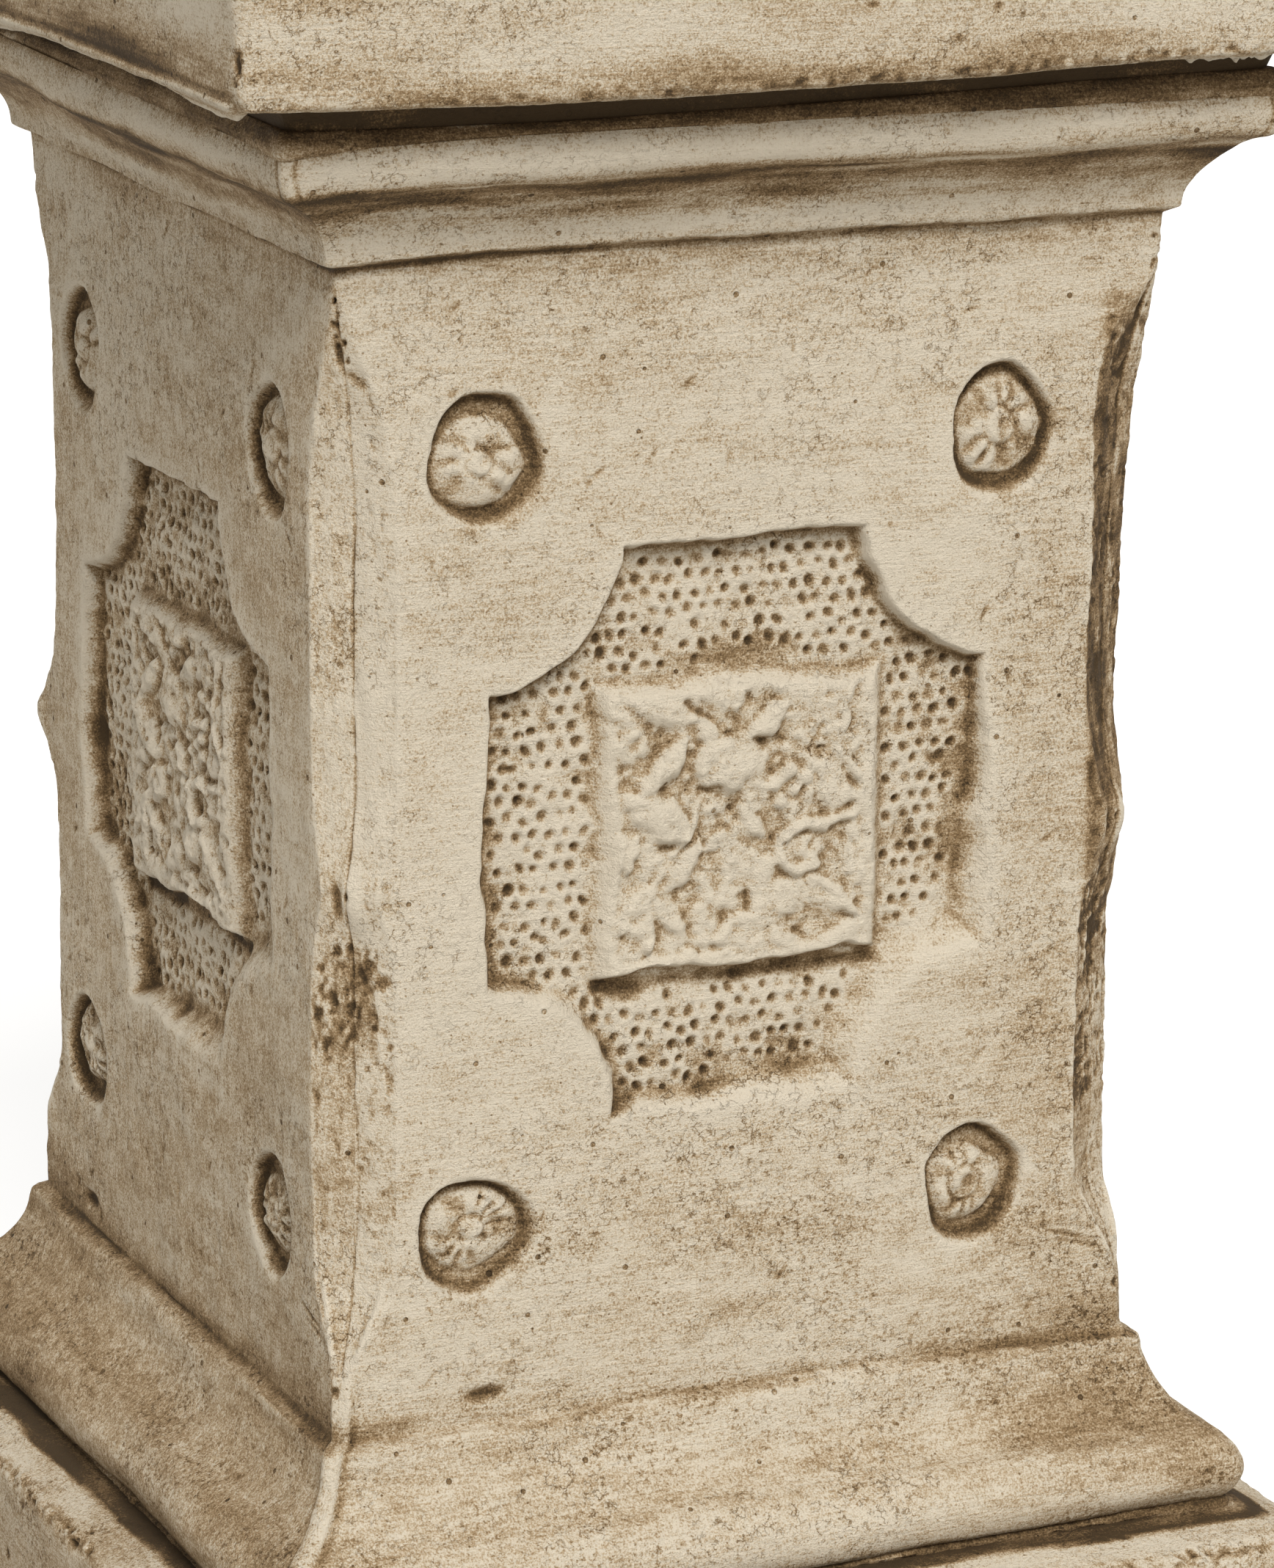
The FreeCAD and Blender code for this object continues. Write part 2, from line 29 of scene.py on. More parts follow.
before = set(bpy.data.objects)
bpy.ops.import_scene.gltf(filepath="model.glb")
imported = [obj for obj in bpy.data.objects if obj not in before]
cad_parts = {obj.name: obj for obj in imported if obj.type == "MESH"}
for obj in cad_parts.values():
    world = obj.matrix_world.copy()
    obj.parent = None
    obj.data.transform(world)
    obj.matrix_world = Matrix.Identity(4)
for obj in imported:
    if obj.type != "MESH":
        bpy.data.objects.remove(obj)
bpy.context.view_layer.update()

MM = 0.001
FINE = 3                      # a detailed cell is split this many times each way
SHARP_ANGLE = math.radians(62)
BLUR_FALLOFF = 19.74          # 2 pi squared: turns a blur's size into its falloff over frequency

# Sizes are in millimetres. Heights on a panel start at the die's foot, DIE_Z above the ground.
DIE_HALF = 160.0
DIE_Z = 150.0
PANEL_LOW, PANEL_HIGH = -56.5, 473.0
CAVITY_HALF = 118.0
PLINTH_TOP, PANEL_FOOT = 90.0, DIE_Z + PANEL_LOW       # the lower bed lies between these heights
PANEL_TOP, BASIN_FOOT = DIE_Z + PANEL_HIGH, 629.0      # and the upper bed between these


# ---------------------------------------------------------------- maps of relief
class Map:
    """Height, and dirt with painted shade, over an unrolled course: v runs up the profile, u once round the
    object.
    """

    def __init__(self, length_v, length_u, step, seed):
        self.step = step
        self.shape = (int(round(length_v / step)), int(round(length_u / step)))
        self.v = (np.arange(self.shape[0]) + 0.5) * step
        self.u = (np.arange(self.shape[1]) + 0.5) * step
        self.height = np.zeros(self.shape)
        self.wash_and_shade = np.zeros(self.shape)
        self.seed = seed

    def blur(self, field, size_v, size_u=None):
        size_u = size_v if size_u is None else size_u
        wave_v = np.fft.fftfreq(self.shape[0], self.step)[:, None] * size_v
        wave_u = np.fft.rfftfreq(self.shape[1], self.step)[None, :] * size_u
        falloff = np.exp(-BLUR_FALLOFF * (wave_v ** 2 + wave_u ** 2))
        return np.fft.irfft2(np.fft.rfft2(field) * falloff, self.shape)

    def grain(self, size_v, size_u=None):
        """Random texture of unit spread and the given grain size."""
        self.seed += 1
        field = self.blur(np.random.default_rng(self.seed).standard_normal(self.shape), size_v, size_u)
        return field / field.std()

    def window(self, v, u, reach):
        """Rows, columns and local coordinates of a square patch; columns wrap round."""
        rows = np.arange(int((v - reach) / self.step), int((v + reach) / self.step) + 1)
        rows = rows[(rows >= 0) & (rows < self.shape[0])]
        columns = np.arange(int(math.floor((u - reach) / self.step)), int((u + reach) / self.step) + 1)
        dv = ((rows + 0.5) * self.step - v)[:, None]
        du = ((columns + 0.5) * self.step - u)[None, :]
        return np.ix_(rows, columns % self.shape[1]), dv, du

    def dent(self, v, u, length, width, angle, depth, stain=0.0):
        """Smooth elliptical hollow, or a lump when depth is negative."""
        at, dv, du = self.window(v, u, max(length, width) * 1.3)
        a = du * math.cos(angle) + dv * math.sin(angle)
        b = -du * math.sin(angle) + dv * math.cos(angle)
        bowl = np.exp(-1.2 * ((2 * a / length) ** 2 + (2 * b / width) ** 2) ** 1.4)
        self.height[at] -= depth * bowl
        self.wash_and_shade[at] += stain * bowl

    def sample(self, field, v, u):
        a, b = v / self.step - 0.5, u / self.step - 0.5
        i, j = np.floor(a).astype(int), np.floor(b).astype(int)
        fa, fb = a - i, b - j
        i0, i1 = np.clip(i, 0, self.shape[0] - 1), np.clip(i + 1, 0, self.shape[0] - 1)
        j0, j1 = j % self.shape[1], (j + 1) % self.shape[1]
        return ((field[i0, j0] * (1 - fb) + field[i0, j1] * fb) * (1 - fa)
                + (field[i1, j0] * (1 - fb) + field[i1, j1] * fb) * fa)


def ease(x):
    x = np.clip(x, 0.0, 1.0)
    return x * x * (3 - 2 * x)


def bump(x):
    """Smooth hump, 1 at 0 and 0 beyond 1."""
    return ease(1 - np.abs(x))


def arc(first, middle, last, count=24):
    """Points along the circle through three points."""
    (ax, ay), (bx, by), (cx, cy) = first, middle, last
    d = 2 * (ax * (by - cy) + bx * (cy - ay) + cx * (ay - by))
    sa, sb, sc = ax * ax + ay * ay, bx * bx + by * by, cx * cx + cy * cy
    ox = (sa * (by - cy) + sb * (cy - ay) + sc * (ay - by)) / d
    oy = (sa * (cx - bx) + sb * (ax - cx) + sc * (bx - ax)) / d
    start, end = math.atan2(ay - oy, ax - ox), math.atan2(cy - oy, cx - ox)
    halfway = math.atan2(by - oy, bx - ox)
    turn = (end - start + math.pi) % (2 * math.pi) - math.pi
    if abs((start + turn / 2 - halfway + math.pi) % (2 * math.pi) - math.pi) > math.pi / 2:
        turn -= math.copysign(2 * math.pi, turn)
    angles = start + turn * np.linspace(0, 1, count)
    radius = math.hypot(ax - ox, ay - oy)
    return [(ox + radius * math.cos(t), oy + radius * math.sin(t)) for t in angles]


class Profile:
    """Polyline in (offset, height), read by its length, with its creases slightly eased."""

    def __init__(self, points, ease_length):
        points = np.array(points, float)
        lengths = np.concatenate([[0], np.cumsum(np.hypot(*np.diff(points, axis=0).T))])
        self.length = lengths[-1]
        self.v = np.linspace(0, self.length, int(self.length / 0.25))
        step = self.v[1]
        reach = int(3 * ease_length / step)
        kernel = np.exp(-0.5 * (np.arange(-reach, reach + 1) * step / ease_length) ** 2)
        kernel /= kernel.sum()
        self.line = []
        for axis in (0, 1):
            values = np.interp(self.v, lengths, points[:, axis])
            before = 2 * values[0] - values[reach:0:-1]
            beyond = 2 * values[-1] - values[-2:-reach - 2:-1]
            self.line.append(np.convolve(np.concatenate([before, values, beyond]), kernel, "valid"))
        slopes = [np.gradient(values, step) for values in self.line]
        size = np.hypot(*slopes)
        self.normal = [slopes[1] / size, -slopes[0] / size]

    def at(self, v):
        return [np.interp(v, self.v, values) for values in self.line + self.normal]

    def v_at_height(self, z):
        return float(np.interp(z, self.line[1], self.v))


# ---------------------------------------------------------------- the pedestal's panels
FOOT_EDGE, TOP_EDGE = 31.4, 29.8           # how far the panel's beds stand out past the die
PANEL = Profile(
    arc((FOOT_EDGE, PANEL_LOW), (35.2, -47.5), (31.6, -36.0))
    + [(29.6, -32.6)] + arc((26.4, -29.4), (12.8, -17.5), (6.0, 0.0))
    + [(5.0, 4.0), (0.0, 6.0), (0.0, 428.5), (5.5, 430.5), (6.0, 434.0)]
    + arc((6.0, 434.0), (13.6, 448.0), (27.2, 457.0))[1:]
    + arc((27.2, 457.0), (31.0, 466.0), (TOP_EDGE, PANEL_HIGH))[1:], 0.6)
FOOT_V = PANEL.v_at_height(6.0) - 6.0      # v of the die's foot
PANEL_NAMES = ("front_panel", "right_panel", "back_panel", "left_panel")
CORNER_SPAN = 2 * DIE_HALF                 # u of one side
AROUND = 4 * CORNER_SPAN                   # u of the whole course

# How far each corner is cut back along either side, against the height above the die's foot. Corner 0 is
# front left; each corner has the leg on the side before it and the leg on the side after it.
FRONT_LEFT = (
    (-60, 1.6), (-2, 1.6), (6, 3), (22, 5), (38, 9), (58, 21), (75, 23), (172, 23), (190, 20), (205, 15),
    (220, 19), (240, 23), (350, 23), (374, 18), (398, 9), (412, 4), (424, 1.6), (480, 1.6))
FRONT_RIGHT_FOOT = ((-76, 4.5), (-40, 4), (-2, 3), (6, 3), (25, 4))
FRONT_RIGHT_BEFORE = FRONT_RIGHT_FOOT + (
    (40, 10), (60, 23), (80, 25), (168, 25), (186, 20), (205, 14), (222, 19), (246, 24), (350, 25),
    (375, 24.5), (388, 20), (398, 13), (404, 5), (414, 2), (424, 1), (480, 1))
FRONT_RIGHT_AFTER = FRONT_RIGHT_FOOT + (
    (40, 9), (60, 19), (80, 21), (168, 21), (186, 17), (205, 12), (222, 16), (246, 21), (307, 20.5),
    (327, 19.5), (346, 17), (364, 15.5), (377, 11.5), (391, 8), (405, 5), (415, 2), (424, 1), (480, 1))
BACK_RIGHT = (
    (-60, 2), (-2, 2), (6, 4), (26, 5), (44, 12), (62, 22), (80, 23), (170, 23), (190, 18), (204, 14),
    (221, 20), (244, 23), (356, 23), (380, 17), (400, 9), (414, 4), (426, 2), (480, 2))
BACK_LEFT = (
    (-60, 2), (-2, 2), (6, 4), (24, 5), (40, 9), (62, 21), (84, 23), (166, 23), (182, 19), (194, 9),
    (206, 4), (217, 11), (228, 20), (242, 23), (360, 23), (382, 18), (402, 9), (414, 4), (426, 2), (480, 2))
CORNER_LEGS = ((FRONT_LEFT, FRONT_LEFT), (FRONT_RIGHT_BEFORE, FRONT_RIGHT_AFTER), (BACK_RIGHT, BACK_RIGHT),
               (BACK_LEFT, BACK_LEFT))

# The neck wasn't run quite level: (distance round from the front left corner, rise).
NECK_RISE = ((0, -2.8), (14, -1.6), (70, 0.3), (160, 0.8), (320, 1.7), (480, 0.8), (640, 0), (800, 1.5),
             (960, 5.0), (1030, 4.6), (1120, 1.4), (1200, -0.8), (1266, -2.6), (AROUND, -2.8))

# Nor is the basin's lower arris level, and its bed takes up the difference.
BASIN_RISE = ((0, -0.8), (31, -1.5), (80, -1.8), (150, -0.3), (212, 1.6), (260, 3.4), (320, 4.6), (480, 2.5),
              (640, 0), (960, 3.5), (1184, 2.2), (AROUND, -0.8))


def along(table, place):
    """Value of a table of (place, value) at any place, in straight stretches."""
    return np.interp(place, *zip(*table))


def corner_leg(corner, after, height):
    return along(CORNER_LEGS[corner][after], height)


# The sunk field is a rectangle with a round bite out of each corner, and a tile stands in it. x starts at
# the panel's middle and z at the die's foot.
FIELD_X, FIELD_Z = -4.0, 220.0
FIELD_HALF_WIDE, FIELD_HALF_TALL, FIELD_BITE = 99.0, 105.0, 50.0
TILE_LEFT, TILE_RIGHT, TILE_LOW, TILE_TOP = -61.0, 55.5, 164.0, 274.0
PIT_ACROSS, PIT_UP, PIT_ROWS = 6.5, 6.4, 17

# Worn foliage on the tile: (middle, length, width, degrees, rise), (middle, size, rise), (line, width, rise)
# and (line, width).
LEAVES = (
    ((-28, 40), 28, 11, -20, 2.2), ((-27, 21), 26, 10, 50, 2.8), ((-29, 4), 27, 17, -38, 2.6),
    ((21, 37), 22, 12, 20, 2.0), ((33, 43), 17, 10, -28, 1.9), ((-19, -13), 17, 9, 58, 2.4),
    ((-35, -25), 20, 8, 50, 2.2), ((-32, -32), 18, 8, 92, 2.2), ((-24, -29), 18, 8, 128, 2.0),
    ((-1, -34), 19, 12, 25, 2.3), ((33, -27), 25, 10, -42, 2.5), ((40, -38), 16, 8, 20, 1.8),
    ((10, 34), 17, 11, 30, 3.2), ((-1, 44), 12, 8, 80, 2.4), ((4, 1), 14, 6, -52, 2.3),
    ((-8, -5), 12, 6, 30, 1.8), ((-38, -8), 14, 7, 75, 1.7), ((12, -38), 16, 7, 165, 1.9),
    ((-12, 30), 14, 7, -60, 2.0), ((38, 22), 14, 6, 70, 1.7), ((41, -10), 15, 7, 95, 1.9),
    ((25, 26), 13, 6, -20, 1.8), ((-44, 30), 12, 6, 85, 1.6), ((30, -44), 15, 6, 5, 1.5))
BUDS = (
    ((-4, 20), (13, 10), 3.3), ((16, -25), (11, 7), 2.3), ((-32, -7), (4, 3), 1.8), ((34, 6), (6, 5), 1.9),
    ((12, 12), (3.2, 3), 2.3), ((17.5, 15.5), (3, 3), 2.4), ((23, 13), (3, 3), 2.3), ((19, 9.5), (3, 3), 2.1),
    ((26, 17.5), (2.8, 2.8), 2.0), ((14, 6), (2.8, 2.8), 2.0), ((24, 7), (2.6, 2.6), 1.9))
STEMS = (
    (((41, 46), (37, 36), (35, 22), (40, 14), (45, 7), (40, -1), (30, -3), (21, -3)), 1.9, 2.3),
    (((29, -4), (22, -2), (15, -5), (14, -12), (19, -17), (26, -15)), 2.4, 2.6),
    (((-14, 8), (-18, -2), (-26, -14), (-30, -20)), 1.6, 1.7))
CUTS = (
    (((-24, 45), (-12, 35)), 1.0), (((-37, -10), (-33, -13)), 1.2), (((-29, -31), (-29, -38)), 1.2),
    (((-40, -42), (-20, -46)), 0.9), (((-12, -44), (6, -46)), 0.9), (((20, -38), (26, -42)), 1.1),
    (((36, -33), (42, -37)), 1.0), (((-14, 12), (-8, 13)), 1.6), (((27, -9), (28.5, -9)), 2.0),
    (((-7, 2), (-3, 5)), 1.4), (((3, -22), (3, -27)), 1.6), (((30, 30), (24, 22)), 0.9))
CUT_RISE = -0.9

# Rosettes: middle, half width and half height of the sinking and of the boss, petals, size of the button,
# and how far the boss lies off the middle.
ROSETTES = (
    (-104, 358, 21.8, 23.9, 17.4, 16.4, 6, 4.0, -1.5, -1.7),
    (97, 355, 20.5, 24.2, 17.8, 18.4, 8, 5.2, 0.0, 0.5),
    (-107, 77, 23.0, 21.6, 18.6, 15.8, 9, 3.6, -0.5, 2.5),
    (93, 72, 20.2, 23.2, 15.8, 14.6, 8, 6.0, -2.2, -0.8))


def field_edge(x, z):
    """Distance inside the sunk field's outline, and the width of its wall there."""
    across, up = x - FIELD_X, z - FIELD_Z
    room_across, room_up = FIELD_HALF_WIDE - np.abs(across), FIELD_HALF_TALL - np.abs(up)
    inside = np.minimum(np.minimum(room_across, room_up), np.hypot(room_across, room_up) - FIELD_BITE)
    left, right = ease(-across / 60 + 0.2), ease(across / 60 + 0.2)
    low, high = ease(-up / 60 + 0.2), ease(up / 60 + 0.2)
    wall = 3.0 + 6.0 * right * (1 - high) + 5.0 * low * (1 - left) + 2.5 * left * low
    return inside, wall


def leaf(height, u, v, centre, length, width, degrees, rise, rib=0.5):
    """Pointed leaf laid over what is there already."""
    angle = math.radians(degrees)
    du, dv = u - centre[0], v - centre[1]
    a = (du * math.cos(angle) + dv * math.sin(angle)) / (length / 2)
    b = (-du * math.sin(angle) + dv * math.cos(angle)) / (width / 2)
    reach = np.clip(1 - a * a, 0, 1) ** 0.8
    body = np.where(reach > 0.02, np.clip(1 - (b / np.maximum(reach, 0.02)) ** 2, 0, 1) ** 0.8, 0)
    shape = rise * body - rib * bump(b * width / 2.2) * np.clip(reach, 0, 1) * (body > 0)
    return np.where(body > 0, np.maximum(height, shape), height)


def stroke(height, u, v, points, width, rise):
    """Rounded vine along a polyline, or a cut groove when rise is negative."""
    nearest = np.full(np.broadcast(u, v).shape, 1e9)
    for (ax, ay), (bx, by) in zip(points, points[1:]):
        span = (bx - ax) ** 2 + (by - ay) ** 2
        t = np.clip(((u - ax) * (bx - ax) + (v - ay) * (by - ay)) / span, 0, 1)
        nearest = np.minimum(nearest, np.hypot(u - ax - t * (bx - ax), v - ay - t * (by - ay)))
    body = np.sqrt(np.clip(1 - (nearest / width) ** 2, 0, 1))
    return height + rise * body if rise < 0 else np.maximum(height, rise * body)


def tile_relief(u, v, ground):
    """Foliage in low relief on the tile, in millimetres from its centre."""
    h = ground
    for centre, length, width, degrees, rise in LEAVES:
        h = leaf(h, u, v, centre, length, width, degrees, rise)
    for centre, size, rise in BUDS:
        r = ((u - centre[0]) / size[0]) ** 2 + ((v - centre[1]) / size[1]) ** 2
        h = np.maximum(h, rise * np.sqrt(np.clip(1 - r, 0, 1)))
    for points, width, rise in STEMS:
        h = stroke(h, u, v, points, width, rise)
    for points, width in CUTS:
        h = stroke(h, u, v, points, width, CUT_RISE)
    return h


def sink_field(relief, side, middle):
    """The recess with its tile: four slopes of their own width, foliage on the tile's face, and stain with
    painted shade along the walls, in the groove under the tile and on the tile's right slope.
    """
    columns = slice(int(side * CORNER_SPAN / relief.step), int((side + 1) * CORNER_SPAN / relief.step))
    low, high = int((FOOT_V + 95) / relief.step), int((FOOT_V + 345) / relief.step)
    patch = np.s_[low:high, columns]
    z = relief.v[low:high, None] - FOOT_V
    x = relief.u[None, columns] - middle
    wobble, sweep, crumbs = (texture[patch] for texture in relief.textures)
    inside, wall = field_edge(x, z + 0 * x)
    inside = inside + sweep * 0.9 + wobble * 0.35
    sunk = ease(inside / wall * 0.9 + 0.12) ** 0.85
    depth = 8.4 + 0.35 * wobble + 0.4 * sweep
    height = -depth * sunk

    left, right = x - TILE_LEFT + 0.6 * sweep, TILE_RIGHT - x + 0.5 * sweep
    low_side, top = z - TILE_LOW + 1.1 * sweep + 0.5 * wobble, TILE_TOP - z + 0.7 * sweep
    slopes = np.minimum(np.minimum(left / 8.0, right / 7.5), np.minimum(low_side / 3.4, top / 7.5))
    tile = ease(slopes + wobble * 0.05 + 0.04 * sweep)
    groove = bump((z - 160.5 + 0.9 * sweep) / (5.5 + 0.8 * wobble)) * ease((x + 62) / 5) * ease((57 - x) / 6)
    margin = np.minimum(50.0 - x, z - 166.0) / 6.0 - 0.4 + 0.3 * wobble
    bed = ease(np.minimum(slopes * 1.6 - 1.1 + 0.2 * wobble, margin))
    ground = np.clip(0.6 + 0.75 * wobble + 0.35 * sweep, -0.6, 2.0)
    foliage = tile_relief((x - FIELD_X) * 0.89 + 0.6 * wobble, (z - 218.5) * 0.89 + 0.7 * sweep, ground)
    foliage = (1.45 * foliage - 2.1 + 0.10 * crumbs) * bed
    relief.foliage[patch] = foliage
    relief.height[patch] += height + tile * 6.8 - groove * 1.6 + 0.16 * crumbs * (tile + sunk)

    floor = ease((inside - wall) / 3.0) * (1 - ease(slopes * 2))
    stained = np.clip(0.35 + 0.6 * sweep + 0.3 * wobble, 0, 1.6)
    edge_stain_and_shade = bump((inside - wall * 0.8) / 6.0) * (1 - 0.7 * ease((x - 20) / 60) * ease((200 - z) / 30))
    # stain in the field, with painted shade in the groove under the tile, along the walls, on the tile's
    # right slope, which is turned from the light, and on the floor below the top wall and beside the left
    # wall
    relief.wash_and_shade[patch] += (
        groove * (0.36 + 0.3 * stained) + 0.26 * edge_stain_and_shade * stained
        + 0.20 * bump((x - 52.5) / 4.5) * ease((z - 164) / 4) * ease((276 - z) / 4) * (0.8 + 0.3 * crumbs)
        + 0.20 * floor * stained * ease((150 - z) / 25) + 0.22 * floor * stained * ease(-(x + 68) / 22)
        + 0.24 * floor * stained * bump((z - 281) / 8) + 0.15 * floor * stained * ease((x - 62) / 20)
        + 0.07 * floor * np.clip(wobble, 0, 2)
        + bed * (np.clip(-foliage - 0.5, -0.4, 1.4) * (0.10 + 0.04 * sweep) + 0.03 * wobble))


def strike_pits(relief, middle, rng):
    """Pits struck in staggered rows between the field's wall and the tile."""
    for row in range(-PIT_ROWS, PIT_ROWS + 1):
        for column in range(-PIT_ROWS, PIT_ROWS + 1):
            x = FIELD_X + PIT_ACROSS * (column + 0.5 * (row % 2)) + rng.normal(0, 0.8)
            z = FIELD_Z + PIT_UP * row + rng.normal(0, 0.8)
            room, wall_width = field_edge(np.array(x), np.array(z))
            clear = max(-59.5 - x, x - 55.0, 158.0 - z, z - 276.0)
            if room < wall_width + 1.4 or clear < 1.6 or rng.random() < 0.04:
                continue
            radius = rng.uniform(1.6, 2.2)
            at, dv, du = relief.window(FOOT_V + z, x + middle, 5.0)
            r = np.hypot(dv * rng.uniform(0.8, 1.2), du + dv * rng.normal(0, 0.15)) / radius
            strength = rng.uniform(0.5, 1.2)
            pit = -1.35 * (1 - ease((r - 0.45) / 0.75)) + 0.3 * bump((r - 1.6) / 0.7)
            relief.height[at] += strength * pit
            relief.wash_and_shade[at] += 0.25 * strength * (1 - ease((r - 0.65) / 0.6)) - 0.06 * bump((r - 1.8) / 0.7)


def model_rosette(relief, middle, rng, x, z, wide, tall, boss_wide, boss_tall, petals, button, aside, over):
    """Oval sinking, domed boss, worn petals round a button."""
    at, dv, du = relief.window(FOOT_V + z, x + middle, 30.0)
    angle = np.arctan2(dv, du)
    warp = 1 + 0.035 * np.sin(3 * angle + rng.uniform(0, 6))
    warp = warp + 0.02 * np.sin(5 * angle + rng.uniform(0, 6))
    oval = np.hypot(du / wide, dv / tall) / warp
    lower_right = ease(0.5 + (du - dv) / 44)
    wobble, sweep, crumbs = (texture[at] for texture in relief.textures)
    oval = oval + 0.008 * wobble + 0.005 * crumbs
    ring = 1 - ease((oval - 0.88 + 0.05 * lower_right) / (0.13 + 0.12 * lower_right))
    du, dv = du - aside, dv - over
    angle = np.arctan2(dv, du)
    r = np.hypot(du / boss_wide, dv / boss_tall) / warp + 0.012 * wobble + 0.012 * crumbs
    dome = np.clip(1 - r * r, 0, 1) ** 0.5
    swirl = angle + 0.35 * np.sin(2 * angle + rng.uniform(0, 6)) + 0.10 * wobble + rng.uniform(0, 6)
    fold = 0.5 + 0.5 * np.cos(petals * swirl)
    ruffle = bump((r - 0.66) / 0.40)
    on_boss = r < 1.02
    boss = 4.2 * dome + ruffle * (1.5 * fold ** 0.6 - 0.9) * (1 + 0.3 * sweep) * on_boss
    boss = boss + dome * (0.6 * wobble + 0.35 * crumbs)
    boss = boss + 0.8 * (1 - ease((r * 16 - button + 0.8) / 1.6)) - 0.7 * bump((r * 16 - button - 1.0) / 1.5)
    relief.height[at] += ring * (-6.0 + boss)
    moat = ring * (1 - ease((1.06 - r) / 0.16))
    relief.wash_and_shade[at] += (
        moat * (0.19 + 0.07 * sweep + 0.05 * crumbs) + 0.22 * ruffle * (1 - fold) * on_boss
        + dome * 0.12 * np.clip(-wobble, 0, 2) + 0.15 * bump((oval - 0.92) / 0.13) * (1 + 0.4 * sweep)
        + 0.18 * bump((oval - 1.05) / 0.25) * (0.3 + 0.7 * lower_right) * (1 + 0.7 * wobble))


def carve_side(relief, side, rng):
    """Sunk field, pits, tile and rosettes of one panel."""
    middle = (side + 0.5) * CORNER_SPAN
    sink_field(relief, side, middle)
    strike_pits(relief, middle, rng)
    for rosette in ROSETTES:
        model_rosette(relief, middle, rng, *rosette)


def pare_corners(relief):
    """Corners cut back with a knife, with raised edges, bruises and flaking, most at the front right, whose
    chamfer and the face beside it are also darkened with painted shade.
    """
    z, to_corner, off, corner = relief.z, relief.to_corner, relief.off, relief.corner
    cut = np.zeros(relief.shape)
    for index in range(4):
        for after in (0, 1):
            width = corner_leg(index, after, z)
            here = (corner == index) & ((to_corner >= 0) == bool(after))
            cut += here * np.clip((width - 4) / 19, 0, 1)
            flake = 1.0
            if (index, after) == (1, 0):
                flake = np.clip(0.7 + 0.7 * relief.grain(2.5, 2.5), 0, 2.2)
            edge = here * bump((off - width) / 2.4) * ease((width - 6) / 6) * flake
            relief.height += 0.30 * edge
            relief.wash_and_shade -= 0.09 * edge
    pared = cut * ease((26 - off) / 6)
    relief.height += pared * (0.18 * relief.grain(3.0, 1.6) + 0.3 * relief.grain(14.0, 5.0) - 0.5)
    front_right = corner == 1
    right_of_seam = ease(0.5 + to_corner / 6)
    bruised = (bump((z - 168) / 36) * 1.3 + 0.8 * bump((z - 388) / 18) + 0.3 * bump((z - 300) / 40)
               + 0.55 * ease((z - 70) / 30) * ease((196 - z) / 20)
               + 0.35 * right_of_seam * bump((z - 360) / 36) + 0.9 * front_right * ease((z - 60) / 20))
    flaked = np.clip(relief.grain(1.1) * 0.9 + relief.grain(5.0) * 0.6 - 1.0 + 0.7 * bruised, 0, 2)
    bruised = np.minimum(bruised, 1)
    relief.height -= 0.45 * flaked * pared * bruised
    relief.wash_and_shade += pared * bruised * ((0.14 + 0.11 * ease((200 - z) / 20)) * flaked + 0.04)
    relief.wash_and_shade -= 0.10 * pared * ease((z - 212) / 30) * (corner == 0)
    # brown stain and painted shade: the front right chamfer, turned from the light, darkens upwards from its
    # foot
    relief.wash_and_shade += pared * front_right * (0.08 + 0.62 * ease((z - 120) / 120)) * (
        1 + 0.25 * relief.grain(4.0, 2.0) + 0.2 * relief.grain(18.0, 6.0))
    # painted shade: the front face darkens towards its right corner, away from the light
    relief.wash_and_shade += 0.10 * ease((to_corner + 90) / 60) * (front_right & (to_corner < 0))


def scrape_arches(relief):
    """A scraped, stained patch with an arched top below each corner's knot."""
    z = relief.z
    half_width = 12.5 * np.sqrt(np.clip(188 - z, 0, 40) / 28)
    arch = ease((half_width - relief.off) / 2.5 + 0.3 * relief.grain(1.5)) * ease((z - 140) / 16)
    relief.height -= arch * (0.35 + 0.3 * relief.grain(1.4))
    relief.wash_and_shade += arch * (0.28 + 0.07 * relief.grain(1.1) + 0.04 * relief.grain(4.0))


def mark_corners(relief, rng):
    """Knot and bruises of each corner, and knife cuts across its pared edges."""
    for index in range(4):
        u = index * CORNER_SPAN
        relief.dent(FOOT_V + 204, u + 3, 13, 24, 0.2, -2.4, -0.2)         # the knot
        relief.dent(FOOT_V + 203, u - 7, 6, 13, 0.2, 1.9, 0.45)           # hollow beside it
        relief.dent(FOOT_V + 205, u - 1, 3.2, 3.0, 0.2, 1.5, 0.5)
        relief.dent(FOOT_V + 397, u - 2, 4, 9, 0.15, 1.5, 0.5)            # bruises below the upper stop
        relief.dent(FOOT_V + 388, u + 6, 12, 5, -0.5, 1.0, 0.4)
        for _ in range(34):
            side, start, end = ((1, 325, 388), (-1, 270, 335), (1, 200, 290), (1, 60, 150))[rng.integers(4)]
            relief.dent(FOOT_V + rng.uniform(start, end), u + side * rng.uniform(7, 15), rng.uniform(3, 7),
                        1.1, rng.normal(-0.9, 0.25), rng.uniform(0.3, 0.7), 0.2)
        for _ in range(12):
            relief.dent(FOOT_V + rng.uniform(394, 424), u + rng.uniform(-4, 4), rng.uniform(1.6, 2.8), 2.2, 0,
                        1.1, 0.45)


